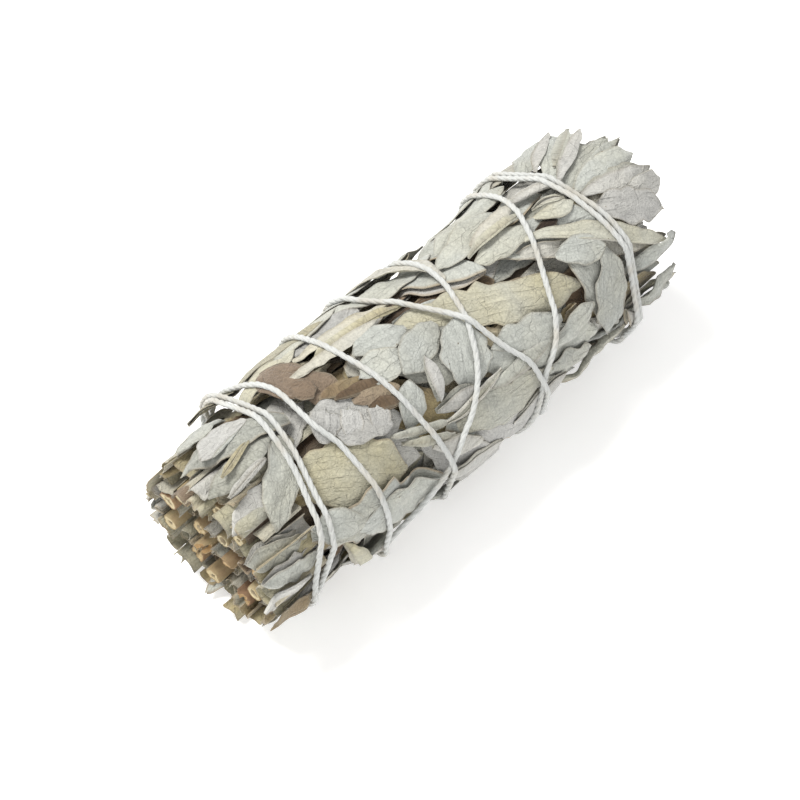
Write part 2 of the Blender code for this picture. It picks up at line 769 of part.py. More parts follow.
def make_sprigs(surface, leaf_green, home):
    draped = laid_leaves(surface)
    channels = stem_channels(home)
    rng = random.Random(7)
    spread = 2 * math.pi / OUTER_SPRIGS
    for sprig in range(OUTER_SPRIGS):
        core = sector_core(
            "core", spread * sprig, spread, INNER_RADIUS + GAP / 2, CORE_RADIUS
        )
        blades = draped[sprig] + outer_end_blades(sprig, rng)
        item = fused(f"sprig_{sprig + 1:02d}", core, blades, channels, home)
        item.data.materials.append(leaf_green)
    spread = 2 * math.pi / INNER_SPRIGS
    for sprig in range(INNER_SPRIGS):
        core = sector_core(
            "core", spread * (sprig + 0.5), spread, 0.0, INNER_RADIUS - GAP / 2
        )
        blades = inner_end_blades(sprig, rng)
        item = fused(f"sprig_{OUTER_SPRIGS + sprig + 1:02d}", core, blades, channels, home)
        item.data.materials.append(leaf_green)
    for cutter in list(channels.objects):
        bpy.data.objects.remove(cutter, do_unlink=True)
    bpy.data.collections.remove(channels)


def set_down(home, string):
    """Puts every mesh at its place in the world, with the bundle resting on its string."""
    bpy.context.view_layer.update()
    for item in home.objects:
        item.data.transform(item.matrix_world)
        item.rotation_euler = (0.0, 0.0, 0.0)
        item.location = (0.0, 0.0, 0.0)
    lowest = min(corner.co.z for corner in string.data.vertices) + REST_SQUASH * MM
    corners = [corner.co for item in home.objects for corner in item.data.vertices]
    middle_x = (min(co.x for co in corners) + max(co.x for co in corners)) / 2
    middle_y = (min(co.y for co in corners) + max(co.y for co in corners)) / 2
    shift = Vector((-middle_x, -middle_y, -lowest))
    for item in home.objects:
        for corner in item.data.vertices:
            corner.co += shift
    for corner in string.data.vertices:
        corner.co.z = max(corner.co.z, 0.0)


def main():
    clear_scene()
    home = collection("sage_smudge_stick")
    leaf_green = material("dried_sage_leaf", (0.52, 0.53, 0.47), 0.85)
    bark = material("sage_stem", (0.48, 0.34, 0.17), 0.8)
    cotton = material("cotton_string", (0.82, 0.81, 0.78), 0.9)
    surface = Surface()
    make_sprigs(surface, leaf_green, home)
    make_stems(bark, home)
    string = make_string(surface, cotton, home)
    set_down(home, string)


main()
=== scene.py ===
import math
import random

import bmesh
import bpy
import numpy as np
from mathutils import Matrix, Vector

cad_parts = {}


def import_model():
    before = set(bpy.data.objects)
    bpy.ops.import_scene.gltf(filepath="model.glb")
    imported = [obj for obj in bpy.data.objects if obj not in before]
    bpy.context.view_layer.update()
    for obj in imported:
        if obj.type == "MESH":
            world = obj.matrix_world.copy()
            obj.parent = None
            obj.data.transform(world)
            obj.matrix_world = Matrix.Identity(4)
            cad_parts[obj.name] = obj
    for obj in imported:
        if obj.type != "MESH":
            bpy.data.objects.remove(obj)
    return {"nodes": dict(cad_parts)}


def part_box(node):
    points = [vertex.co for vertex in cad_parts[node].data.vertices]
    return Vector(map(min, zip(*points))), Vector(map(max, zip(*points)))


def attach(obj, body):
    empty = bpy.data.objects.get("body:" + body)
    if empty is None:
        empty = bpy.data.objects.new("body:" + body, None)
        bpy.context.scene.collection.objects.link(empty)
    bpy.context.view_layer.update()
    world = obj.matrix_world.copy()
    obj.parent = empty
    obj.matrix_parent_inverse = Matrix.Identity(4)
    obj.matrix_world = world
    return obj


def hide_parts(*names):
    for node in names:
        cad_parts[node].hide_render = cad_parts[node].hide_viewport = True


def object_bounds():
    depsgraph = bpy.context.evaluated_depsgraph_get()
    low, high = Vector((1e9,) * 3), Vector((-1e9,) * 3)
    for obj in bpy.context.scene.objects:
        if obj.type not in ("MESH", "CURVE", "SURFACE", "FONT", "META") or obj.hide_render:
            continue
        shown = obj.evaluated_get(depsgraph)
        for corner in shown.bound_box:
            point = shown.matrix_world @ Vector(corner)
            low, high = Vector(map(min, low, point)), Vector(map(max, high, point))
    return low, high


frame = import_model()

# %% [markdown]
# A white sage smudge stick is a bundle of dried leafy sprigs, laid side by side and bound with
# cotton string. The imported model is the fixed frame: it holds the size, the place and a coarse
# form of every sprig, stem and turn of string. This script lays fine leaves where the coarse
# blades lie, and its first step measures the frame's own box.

MM = 0.001
cad_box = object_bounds()
cad_sides = [round(side / MM, 1) for side in cad_box[1] - cad_box[0]]
print("frame", len(frame["nodes"]), "nodes, box", cad_sides, "mm")

# %% [markdown]
# The bundle's axis runs along X. All leaves are worked out round that axis, in millimetres, and
# moved to their place in the world at the end. The frame gives the place: a stem is round, so
# the middle of its box is its own axis, and two numbers from the part's design say how far that
# stem stands from the bundle's axis.

# %% Where the bundle's axis lies
STEMS = (
    # angle in degrees, distance from the axis, radius, cut end
    (3, 10.7, 1.75, -48.6),
    (35, 11.0, 1.35, -49.4),
    (74, 10.4, 1.60, -49.0),
    (106, 10.4, 1.55, -50.3),
    (140, 10.7, 1.70, -50.0),
    (183, 9.8, 1.65, -50.4),
    (210, 10.8, 1.60, -49.2),
    (252, 10.8, 1.60, -50.6),
    (298, 10.6, 1.85, -50.9),
    (321, 10.6, 1.85, -50.2),
    (222, 3.7, 1.45, -50.2),
    (294, 3.9, 1.40, -49.6),
    (30, 3.7, 1.35, -49.2),
    (112, 3.6, 1.45, -50.0),
)


def round_axis(x, angle, radius):
    """Points at a radius round the bundle's axis, with angles in radians."""
    return np.stack(np.broadcast_arrays(x, -radius * np.sin(angle), radius * np.cos(angle)), axis=-1)


def axis_place():
    """The world place, in millimetres, of the middle of the bundle's axis."""
    places = []
    for number, (angle, distance, _, cut_end) in enumerate(STEMS, 1):
        low, high = (np.array(corner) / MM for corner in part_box(f"stem_{number:02d}"))
        middle = (low + high) / 2
        middle[0] = low[0]
        places.append(middle - round_axis(float(cut_end), math.radians(angle), distance))
    return np.mean(places, axis=0)


AXIS = axis_place()
print("axis at", AXIS.round(2))

# %% [markdown]
# The photograph looks down on the bundle from beyond its cut end. The angle and the distance
# were fitted to the two ends, the string's crossings and the outline. A long lens keeps the far
# end nearly as big as the near one, so a 100 mm lens stands about 0.4 m away.

# %% Camera
VIEW_TURN = 45.57
VIEW_HEIGHT = 56.0
LENS = 100.0
CAMERA_PLACE = (-161.1, -152.5, 319.7)
camera_data = bpy.data.cameras.new("camera")
camera_data.lens = LENS
camera_data.sensor_width = 36.0
camera_data.clip_start = 0.01
camera_data.clip_end = 20.0
camera = bpy.data.objects.new("camera", camera_data)
bpy.context.scene.collection.objects.link(camera)
camera.location = (Vector(CAMERA_PLACE) + Vector(AXIS)) * MM
camera.rotation_euler = (math.radians(90 - VIEW_HEIGHT), 0.0, -math.radians(VIEW_TURN))
bpy.context.scene.camera = camera
print("camera at", [round(value, 3) for value in camera.location])

# %% [markdown]
# The bundle lies on a plain white table in soft light. One large lamp behind the bundle, up and
# to the left, gives the leaves their bright upper sides and lays a soft shadow to the right. A
# weaker one from the front fills, and the white world keeps the shade light. The photograph is
# exposed until the table is pure white, so the table glows a little of its own here. The
# Standard view keeps colours as they are mixed.

# %% Table, light and world
WORLD_STRENGTH = 0.66
TABLE_GREY, TABLE_GLOW = 0.93, 0.31
bpy.context.scene.view_settings.view_transform = "Standard"


def soft_lamp(name, place, size, watts, colour):
    light = bpy.data.lights.new(name, "AREA")
    light.shape = "DISK"
    light.size = size
    light.energy = watts
    light.color = colour
    lamp = bpy.data.objects.new(name, light)
    bpy.context.scene.collection.objects.link(lamp)
    lamp.location = place
    lamp.rotation_euler = (-Vector(place)).to_track_quat("-Z", "Y").to_euler()


soft_lamp("key", (-0.16, 0.34, 0.70), 0.28, 6.3, (1.0, 0.985, 0.95))
soft_lamp("fill", (-0.34, -0.46, 0.36), 0.4, 1.1, (1.0, 0.99, 0.97))
world = bpy.data.worlds.new("world")
world.use_nodes = True
backdrop = world.node_tree.nodes["Background"].inputs
backdrop["Color"].default_value = (1.0, 0.995, 0.985, 1.0)
backdrop["Strength"].default_value = WORLD_STRENGTH
bpy.context.scene.world = world

floor_mesh = bpy.data.meshes.new("floor")
build = bmesh.new()
bmesh.ops.create_grid(build, x_segments=1, y_segments=1, size=3.0)
build.to_mesh(floor_mesh)
build.free()
floor = bpy.data.objects.new("floor", floor_mesh)
bpy.context.scene.collection.objects.link(floor)
white = bpy.data.materials.new("white_table")
white.use_nodes = True
table_finish = white.node_tree.nodes["Principled BSDF"].inputs
table_finish["Base Color"].default_value = (TABLE_GREY, TABLE_GREY, TABLE_GREY, 1.0)
table_finish["Roughness"].default_value = 0.7
table_finish["Emission Color"].default_value = (1.0, 1.0, 1.0, 1.0)
table_finish["Emission Strength"].default_value = TABLE_GLOW
floor_mesh.materials.append(white)
print("white table and two soft lamps")

# %% [markdown]
# Materials, and the string's Geometry Nodes, are written as sums. The class Wire wraps one output
# of a node, and Python's own signs on it add Math nodes, so a pattern reads like a formula. Every
# other node is added by one method. Colours are blended by a Mix node, because a Math node would
# turn a colour grey.

# %% Node helpers


class Wire:
    """One output of a node, on which sums can be written."""

    def __init__(self, network, socket):
        self.network = network
        self.socket = socket

    def math(self, operation, first, second):
        return self.network.node("ShaderNodeMath", {"operation": operation}, {0: first, 1: second})

    def __add__(self, other):
        return self.math("ADD", self, other)

    def __radd__(self, other):
        return self.math("ADD", other, self)

    def __sub__(self, other):
        return self.math("SUBTRACT", self, other)

    def __rsub__(self, other):
        return self.math("SUBTRACT", other, self)

    def __mul__(self, other):
        return self.math("MULTIPLY", self, other)

    def __rmul__(self, other):
        return self.math("MULTIPLY", other, self)

    def __truediv__(self, other):
        return self.math("DIVIDE", self, other)

    def between(self, low, high):
        """0 below low and 1 above high, with a soft ramp between them."""
        values = {"Value": self, "From Min": low, "From Max": high}
        return self.network.node("ShaderNodeMapRange", {"interpolation_type": "SMOOTHSTEP"}, values)


class Network:
    """A node tree that is built up node by node."""

    def put(self, socket, value):
        for one in value if isinstance(value, list) else [value]:
            if isinstance(one, Wire):
                self.tree.links.new(one.socket, socket)
            else:
                socket.default_value = one

    def node(self, kind, settings=None, values=None, out=0):
        made = self.tree.nodes.new(kind)
        for name, value in (settings or {}).items():
            setattr(made, name, value)
        for name, value in (values or {}).items():
            self.put(made.inputs[name], value)
        return Wire(self, made.outputs[out])


class Paint(Network):
    """A material's nodes."""

    def __init__(self, name):
        self.material = bpy.data.materials.new(name)
        self.material.use_nodes = True
        self.tree = self.material.node_tree
        self.shader = self.tree.nodes["Principled BSDF"]

    def attribute(self, name):
        return self.node("ShaderNodeAttribute", {"attribute_name": name}, out="Fac")

    def noise(self, vector, scale, detail=2.0, roughness=0.5, out="Fac"):
        values = {"Vector": vector, "Scale": scale, "Detail": detail, "Roughness": roughness}
        return self.node("ShaderNodeTexNoise", None, values, out)

    def cells(self, vector, scale, feature="DISTANCE_TO_EDGE"):
        values = {"Vector": vector, "Scale": scale}
        return self.node("ShaderNodeTexVoronoi", {"feature": feature}, values, "Distance")

    def vector(self, operation, first, second):
        return self.node("ShaderNodeVectorMath", {"operation": operation}, {0: first, 1: second})

    def blend(self, share, first, second, mode="MIX"):
        made = self.tree.nodes.new("ShaderNodeMix")
        made.data_type = "RGBA"
        made.blend_type = mode
        self.put(made.inputs["Factor"], share)
        self.put(made.inputs[6], first)
        self.put(made.inputs[7], second)
        return Wire(self, made.outputs[2])

    def shaded(self, colour, light):
        """A colour made lighter or darker by a number."""
        grey = self.node("ShaderNodeCombineColor", None, {"Red": light, "Green": light, "Blue": light})
        return self.blend(1.0, colour, grey, "MULTIPLY")

    def ramp(self, share, stops):
        made = self.tree.nodes.new("ShaderNodeValToRGB")
        line = made.color_ramp
        while len(line.elements) < len(stops):
            line.elements.new(0.5)
        for element, (place, colour) in zip(line.elements, stops):
            element.position = place
            element.color = colour
        self.put(made.inputs[0], share)
        return Wire(self, made.outputs[0])

    def bump(self, height, strength, distance):
        values = {"Height": height, "Strength": strength, "Distance": distance}
        return self.node("ShaderNodeBump", None, values, "Normal")

    def finish(self, **values):
        for name, value in values.items():
            self.put(self.shader.inputs[name.replace("_", " ")], value)
        return self.material


def screen(red, green, blue):
    """A colour given as it looks on a screen, from 0 to 255, as Blender mixes it."""
    return (*((value / 255) ** 2.2 for value in (red, green, blue)), 1.0)


print("node helpers ready")

# %% [markdown]
# A dried sage leaf is felted with short white hairs over a grey-green skin. Close up it shows a
# fine grain, a net of veins that is deeper on its underside, a paler midrib, brownish margins
# and now and then a yellow patch or a dark speck. Old leaves turn cream, tan or brown. Each
# leaf's mesh carries those as numbers: its age, its tone, how far a point is from the margin and
# which side it is on. The material mixes the finish from them, on the leaf's own coordinates.
# Two marks are painted shade: a darker band along every margin for the shadow gap under the
# leaf's edge, and darker lines in the wrinkles for the shade in those creases.

# %% Leaf material


def leaf_material():
    paint = Paint("dried_sage_leaf")
    place = paint.node("ShaderNodeUVMap", {"uv_map": "leaf"})
    spot = paint.node("ShaderNodeTexCoord", out="Object")
    age = paint.attribute("age")
    tone = paint.attribute("tone")
    edge = paint.attribute("edge")
    rib = paint.attribute("rib")
    side = paint.attribute("side")
    rim = paint.attribute("rim")

    grain = paint.noise(spot, 2600.0, 3.0, 0.65)
    mottle = paint.noise(place, 420.0, 4.0, 0.6)
    patch = paint.noise(place, 95.0, 2.0, 0.5)
    stretched = paint.vector("MULTIPLY", place, (1.0, 1.35, 1.0))
    sway = paint.vector("SUBTRACT", paint.noise(place, 420.0, out="Color"), (0.5, 0.5, 0.5))
    warped = paint.vector("ADD", stretched, paint.vector("MULTIPLY", sway, (0.0016, 0.0016, 0.0)))
    net = 1.0 - paint.cells(warped, 1500.0).between(0.0, 0.22)
    veins = 1.0 - paint.cells(warped, 560.0).between(0.0, 0.08)
    cracks = (1.0 - paint.cells(warped, 230.0).between(0.0, 0.035)) * patch.between(0.42, 0.6)
    lengthwise = paint.noise(paint.vector("MULTIPLY", stretched, (0.16, 1.0, 1.0)), 330.0, 1.0, 0.4)
    wrinkles = 1.0 - ((lengthwise - 0.5) * (lengthwise - 0.5)).between(0.0, 0.0009)
    wrinkles = wrinkles * mottle.between(0.42, 0.60)
    midrib = 1.0 - rib.between(0.05, 0.5)
    speck = 1.0 - paint.cells(place, 520.0, "F1").between(0.05, 0.10)

    shift = age + (patch - 0.5) * 0.42 + (mottle - 0.5) * 0.10
    colour = paint.ramp(shift, (
        (0.0, screen(200, 203, 197)),
        (0.22, screen(204, 203, 188)),
        (0.42, screen(204, 197, 166)),
        (0.60, screen(184, 168, 128)),
        (0.78, screen(146, 124, 99)),
        (1.0, screen(88, 70, 55)),
    ))
    colour = paint.blend(side * (0.6 - age * 0.6), colour, screen(190, 187, 186))
    light = 0.54 + tone * 0.26 + (mottle - 0.5) * 0.30 + (grain - 0.5) * 0.36
    light = light + midrib * 0.05 + (net * 0.14 + veins * 0.10) * (side * 1.4 - 0.7)
    # painted shade: darker lines in the wrinkles' creases, and a darker band along each margin for the
    # shadow gap under the leaf's edge
    light = light - cracks * 0.08 - wrinkles * 0.09 - (1.0 - edge.between(0.0, 0.34)) * 0.20
    colour = paint.shaded(colour, light)
    margin = (1.0 - edge.between(0.0, 0.55)) * paint.attribute("margin") * (0.2 + mottle * 0.9)
    colour = paint.blend(margin, colour, screen(158, 138, 108))
    colour = paint.blend(rim * 0.12, colour, screen(214, 206, 184))
    colour = paint.blend(speck * mottle.between(0.56, 0.62) * 0.7, colour, screen(96, 82, 60))

    height = (grain - 0.5) * 0.5 + mottle * 0.9 + (net * 0.25 + veins * 0.35) * (side * 1.5 - 0.6)
    normal = paint.bump(height - cracks * 0.6 - wrinkles * 0.9, 0.7, 0.00026)
    return paint.finish(Base_Color=colour, Roughness=0.88, Normal=normal, Sheen_Weight=0.25,
                        Sheen_Roughness=0.5, Specular_IOR_Level=0.25)


leaf_paint = leaf_material()
print("leaf material has", len(leaf_paint.node_tree.nodes), "nodes")

# %% [markdown]
# The leaves lie where the part's rule lays them. The rule is repeated here: it draws the same
# plans from the same seed, lays each as a coarse blade on a map of the bundle's outer radius,
# and keeps those that root in one sprig and leave the most visible leaves free. What comes out
# is a list of places, not shapes, and the fine leaves below are draped on those places.

# %% The part's rule for where leaves lie
CORE_START, CORE_END, CORE_RADIUS, INNER_RADIUS = -42.0, 38.0, 13.8, 6.85
OUTER_SPRIGS, INNER_SPRIGS = 10, 4
GAP, BLADE, OWN_GAP = 0.3, 0.62, 0.08
PLACE_SEED = 41
MAP_START, MAP_LENGTH = -58.0, 120.0
SHOULDER_START, SHOULDER_LENGTH, SHOULDER_DROP = 44.0, 8.0, 3.6
LEAF_RADIUS, STEEPEST = 16.0, 0.3
ROOT_DEPTH, CORE_ROOT_DEPTH, ROOT_REACH, ROOT_MOVES = 0.42, 1.3, 2.2, 5
HIGHEST_LEAF, HIGHEST_BENEATH, MOST_HIDDEN = 19.0, 16.6, 0.25
FLARE_START, FLARE, FLARE_LOWEST = -44.0, 1.3, -0.6
CROSSING_ROUNDS = 5
SHOWN_LEAVES = (
    # base x and angle, tip x and angle, width, keel
    (-7.5, -7, 27.9, 49, 9.5, 0.3),
    (-36, 25, -18.8, 68, 14.0, 0.2),
    (-29, -47, -20.6, 10, 8.5, 0.7),
    (-28, 12, -18.4, 37, 8.5, 0.8),
    (-17, -16, -6.7, 10, 8.5, 0.6),
    (20.5, 5, 48, 62, 6.5, 0.8),
    (26, 36, 33, 98, 9.5, 0.7),
    (-13, 8, 5, 46, 11.0, 0.2),
    (-40, 60, -12, 96, 11.0, 0.4),
    (2, 52, 27, 84, 10.0, 0.6),
    (9, -52, 34, -14, 9.5, 0.5),
)
LEAF_STATIONS, LEAF_WIDTHS = (0.0, 0.14, 0.42, 0.76, 1.0), (0.20, 0.62, 1.0, 0.86, 0.30)
BED_STATIONS, BED_WIDTHS = (0.0, 0.16, 0.62, 1.0), (0.25, 0.85, 1.0, 0.42)


class RadiusMap:
    """The outer radius of all that is laid so far, over x and the angle round the axis."""

    def __init__(self, x_cell, angle_cell):
        self.x_cell, self.angle_cell = x_cell, angle_cell
        self.x = MAP_START + x_cell * (np.arange(round(MAP_LENGTH / x_cell)) + 0.5)
        self.angle = angle_cell * (np.arange(round(360 / angle_cell)) + 0.5)
        shoulder = np.clip((self.x - SHOULDER_START) / SHOULDER_LENGTH, 0, 1.4) ** 2
        bed = CORE_RADIUS - SHOULDER_DROP * shoulder
        self.radius = np.repeat(bed[:, None], len(self.angle), axis=1)
        sector = np.round(self.angle * OUTER_SPRIGS / 360).astype(int) % OUTER_SPRIGS
        within = (self.x > CORE_START + 0.5) & (self.x < CORE_END - 0.5)
        self.owner = np.where(within[:, None], sector[None, :], -1)
        self.shown = np.zeros(self.owner.shape, bool)

    def cells(self, x, angle):
        along = np.clip(((x - MAP_START) / self.x_cell).astype(int), 0, len(self.x) - 1)
        turned = np.degrees(angle) % 360
        return along, (turned / self.angle_cell).astype(int) % len(self.angle)

    @staticmethod
    def widened(grid):
        for axis in (0, 1):
            sides = np.maximum(np.roll(grid, 1, axis), np.roll(grid, -1, axis))
            grid = np.maximum(grid, sides)
        return grid

    def least_radius(self, own):
        """How low a blade of this sprig may lie."""
        return self.widened(self.radius + np.where(self.owner == own, OWN_GAP, GAP))

    def cover(self, points, own, shown):
        """Raises the map to these points of a new blade's upper side."""
        radius = np.hypot(points[:, 1], points[:, 2])
        cell = self.cells(points[:, 0], np.arctan2(-points[:, 1], points[:, 2]))
        self.shown[cell] |= shown
        order = np.argsort(radius)
        cell = (cell[0][order], cell[1][order])
        radius = radius[order]
        above = radius > self.radius[cell]
        cell = (cell[0][above], cell[1][above])
        self.radius[cell] = radius[above]
        self.owner[cell] = own

    def root_at(self, x, angle, turn):
        """The sprig that alone shows along a leaf's first millimetres and its root's radius."""
        along = np.linspace(-0.8, ROOT_REACH, 9)[:, None]
        across = np.linspace(-1.2, 1.2, 5)[None, :]
        xs = x + along * math.cos(turn) - across * math.sin(turn)
        angles = angle + (along * math.sin(turn) + across * math.cos(turn)) / LEAF_RADIUS
        cell = self.cells(xs, angles)
        owners = np.unique(self.owner[cell])
        if len(owners) > 1 or owners[0] < 0:
            return None
        first = self.radius[cell][:4]
        if np.ptp(first) > 0.6:
            return None
        depth = CORE_ROOT_DEPTH if first.max() < CORE_RADIUS + 0.05 else ROOT_DEPTH
        return int(owners[0]), float(first.min()) - depth


print("a leaf may lie", HIGHEST_LEAF, "mm out, and", HIGHEST_BENEATH, "mm beneath")

# %% [markdown]
# One blade of the part is a few flat triangles. It starts at the least radius that its place
# allows, is made no steeper than a leaf bends, and is raised until no triangle dips below what
# is already laid. Its base looks for a nearby spot where it can root in a single sprig.

# %% One blade of the part


def barycentric(count):
    """Points spread over a triangle, as shares of its three corners."""
    rows = [(i, j, count - i - j) for i in range(count + 1) for j in range(count + 1 - i)]
    return np.array(rows, float) / count


COARSE, DENSE = barycentric(12), barycentric(26)


def grid_triangles(rows, columns):
    faces = []
    for i in range(rows - 1):
        for j in range(columns - 1):
            a = i * columns + j
            b, c, d = a + columns, a + columns + 1, a + 1
            faces += [(a, b, c), (a, c, d)] if (i + j) % 2 else [(a, b, d), (b, c, d)]
    return np.array(faces)


def raise_clear(x, angle, radius, need, laid):
    """Lifts a coarse blade until each of its flat triangles clears what lies below."""
    faces = grid_triangles(*radius.shape)
    weights = np.repeat(COARSE[None], len(faces), 0)
    for _ in range(40):
        corners = round_axis(x, angle, radius).reshape(-1, 3)[faces]
        points = np.einsum("fsk,fkd->fsd", weights, corners)
        cell = laid.cells(points[..., 0], np.arctan2(-points[..., 1], points[..., 2]))
        short = need[cell] - np.hypot(points[..., 1], points[..., 2])
        short[(faces < radius.shape[1]).any(axis=1)] = 0
        if short.max() < 0.01:
            break
        raised = np.zeros(radius.size)
        for face, lack in zip(faces, short):
            share = COARSE[int(lack.argmax())]
            lift = max(lack.max(), 0.0) * share / (share @ share)
            raised[face] = np.maximum(raised[face], lift)
        radius = radius + raised.reshape(radius.shape)
    return radius


def rooted(plan, laid):
    """Moves a leaf's base to the nearest place where it can root, with its tip kept."""
    x, angle, tip_x, tip_angle = plan[:4]
    steps = range(-ROOT_MOVES, ROOT_MOVES + 1)
    moves = sorted(((i, j) for i in steps for j in steps), key=lambda m: m[0] ** 2 + m[1] ** 2)
    for along, aside in moves:
        base_x = x + along
        base_angle = angle + aside / LEAF_RADIUS
        across = (tip_angle - base_angle) * LEAF_RADIUS
        turn = math.atan2(across, tip_x - base_x)
        found = laid.root_at(base_x, base_angle, turn)
        if found:
            return base_x, base_angle, turn, math.hypot(across, tip_x - base_x), *found
    return None


def coarse_leaf(plan, stations, widths, laid, rng, shown):
    """Where one blade of the part lies, as a record of its place, or None if it isn't laid."""
    width, keel = plan[4:]
    found = rooted(plan, laid)
    if found is None:
        return None
    x, angle, turn, length, own, low = found
    along = np.array(stations)[:, None] * length
    half = width / 2 * np.array(widths)[:, None]
    half = half * np.array([[rng.uniform(0.9, 1.08)] for _ in stations])
    across = half * np.array([[-1.0, 0.0, 1.0]])
    xs = x + along * math.cos(turn) - across * math.sin(turn)
    angles = angle + (along * math.sin(turn) + across * math.cos(turn)) / LEAF_RADIUS
    need = laid.least_radius(own)
    radius = need[laid.cells(xs, angles)].copy()
    for _ in range(4):
        for row, gap in enumerate(np.diff(along[:, 0])):
            radius[row] = np.maximum(radius[row], radius[row + 1] - STEEPEST * gap)
            radius[row + 1] = np.maximum(radius[row + 1], radius[row] - STEEPEST * gap)
    radius[1:-1, 1] += keel * rng.uniform(0.2, 0.5)
    radius[0] = low
    radius = raise_clear(xs, angles, radius, need, laid)
    radius[0] = low
    if xs[-1, 1] < FLARE_START and math.cos(angles[-1, 1]) > FLARE_LOWEST:
        radius[-1] += FLARE
    corners = round_axis(xs, angles, radius + BLADE).reshape(-1, 3)[grid_triangles(*radius.shape)]
    on_top = np.einsum("sk,fkd->fsd", DENSE, corners).reshape(-1, 3)
    around = np.arctan2(-on_top[:, 1], on_top[:, 2])
    height = np.hypot(on_top[:, 1], on_top[:, 2])
    beneath = np.abs(np.degrees(around) % 360 - 180) < 40
    too_high = height.max() > HIGHEST_LEAF or (height[beneath] > HIGHEST_BENEATH).any()
    hides = laid.shown[laid.cells(on_top[:, 0], around)].mean()
    if not shown and (too_high or hides > MOST_HIDDEN):
        return None
    laid.cover(on_top, own, shown)
    return {"x": x, "angle": angle, "turn": turn, "length": length, "own": own,
            "stations": np.array(stations), "half": half[:, 0]}


print("a blade has", len(LEAF_STATIONS), "stations, or", len(BED_STATIONS), "in the bed")

# %% [markdown]
# The part draws four kinds of leaf, in this order: a bed that lies along its own sprig, the
# eleven that the photograph shows best, the fans at both ends, and leaves that cross over their
# neighbours. The order and every draw are the part's own, or the places would differ.

# %% The plans of the part's leaves, laid in order


def sprig_angle(sprig, aside):
    return 2 * math.pi / OUTER_SPRIGS * (sprig + aside)


def bed_leaves(rng):
    """Leaves that lie straight along their own sprig."""
    plans = []
    for start in (-41.0, -25.0, -9.0, 9.0):
        for sprig in range(OUTER_SPRIGS):
            x = start + rng.uniform(-2, 2)
            angle = sprig_angle(sprig, rng.uniform(-0.05, 0.05))
            tip = angle + math.radians(rng.uniform(-3, 3))
            plans.append((x, angle, x + 27, tip, 7.6, rng.uniform(0.1, 0.5)))
    return sorted(plans, key=lambda plan: -plan[0])


def end_leaves(rng):
    """Tips that fan out past the string, and leaves bent back over the cut ends."""
    plans = []
    for place in range(OUTER_SPRIGS * 2):
        aside = 0.16 if place % 2 else -0.16
        angle = sprig_angle(place // 2, aside + rng.uniform(-0.08, 0.08))
        x = rng.uniform(24, 33)
        tip = angle + math.radians(rng.uniform(-8, 28))
        width = rng.uniform(6.5, 9.0)
        plans.append((x, angle, rng.uniform(48, 53), tip, width, rng.uniform(0.2, 0.9)))
        x = rng.uniform(-36, -29)
        tip = angle + math.radians(rng.uniform(-16, 16))
        width = rng.uniform(5.5, 8.0)
        plans.append((x, angle, rng.uniform(-52, -47), tip, width, rng.uniform(0.2, 0.9)))
    return plans


def crossing_leaves(rng):
    """Leaves that lean over their neighbours, each with its base under the one before."""
    plans = []
    for start in (-38.0, -28.0, -17.0, -6.0, 5.0, 15.0):
        for sprig in range(OUTER_SPRIGS):
            x = start + rng.uniform(-4, 4)
            angle = sprig_angle(sprig, rng.uniform(-0.4, 0.4))
            turn = math.radians(rng.gauss(24, 14))
            length = rng.uniform(18, 30)
            tip = angle + length * math.sin(turn) / LEAF_RADIUS
            width = rng.uniform(7.0, 11.0)
            tip_x = x + length * math.cos(turn)
            plans.append((x, angle, tip_x, tip, width, rng.uniform(0.1, 0.8)))
    return sorted(plans, key=lambda plan: -plan[0])


def shown_leaves():
    return [(x, math.radians(a), tip_x, math.radians(tip), width, keel)
            for x, a, tip_x, tip, width, keel in SHOWN_LEAVES]


def laid_places():
    """The place of every draped blade of the part, in the order in which they are laid."""
    rng = random.Random(PLACE_SEED)
    laid = RadiusMap(0.5, 2.0)
    layers = [
        ("bed", bed_leaves(rng), BED_STATIONS, BED_WIDTHS),
        ("shown", shown_leaves(), LEAF_STATIONS, LEAF_WIDTHS),
        ("end", end_leaves(rng), BED_STATIONS, BED_WIDTHS),
        ("end", end_leaves(rng), BED_STATIONS, BED_WIDTHS),
    ]
    for _ in range(CROSSING_ROUNDS):
        layers.append(("crossing", crossing_leaves(rng), LEAF_STATIONS, LEAF_WIDTHS))
    places = []
    for role, plans, stations, widths in layers:
        for number, plan in enumerate(plans):
            place = coarse_leaf(plan, stations, widths, laid, rng, role == "shown")
            if place:
                places.append({**place, "role": role, "number": number})
    return places, laid


places, coarse_map = laid_places()
print(len(places), "leaves placed by the part's rule")

# %% [markdown]
# A dried leaf is a thin stiff sheet. It doesn't cling to what lies below: it rests on the
# highest points and bridges the hollows, which leaves the dark gaps between the leaves. Here a
# leaf is draped on a finer map of the bundle: its resting height starts at the least that
# clears the leaves below, and is then blurred and raised to that least height again and again.
# On that come the leaf's own arch, waves, tilt, facets and creases, and a fold or a roll of its
# section. Its base dives under what lies there, and what stands too far out is pressed in.

# %% Draping one leaf
LEAF_THICKNESS = 0.22
LEAF_GAP = 0.02
PATCH_CELL = 0.5
STIFF_ROUNDS = 5
SOFT_LIMIT, HARD_LIMIT = 17.4, 19.2
TABLE_CLEAR = 0.45
DEEPEST_DIVE = 0.9
# A scattered leaf is left out where a quarter of it would lie further out than this.
HIGHEST_SCATTERED = {"among": 17.9, "small": 18.9}
HIGH_PERCENT = 75


def on_bundle(leaf, along, across):
    """Where a point of a flat leaf comes on the bundle: x and the angle round the axis."""
    share = along / leaf["length"]
    across = across + leaf.get("bow", 0.0) * 4 * share * (1 - share)
    turn = leaf["turn"]
    x = leaf["x"] + along * math.cos(turn) - across * math.sin(turn)
    return x, leaf["angle"] + (along * math.sin(turn) + across * math.cos(turn)) / LEAF_RADIUS


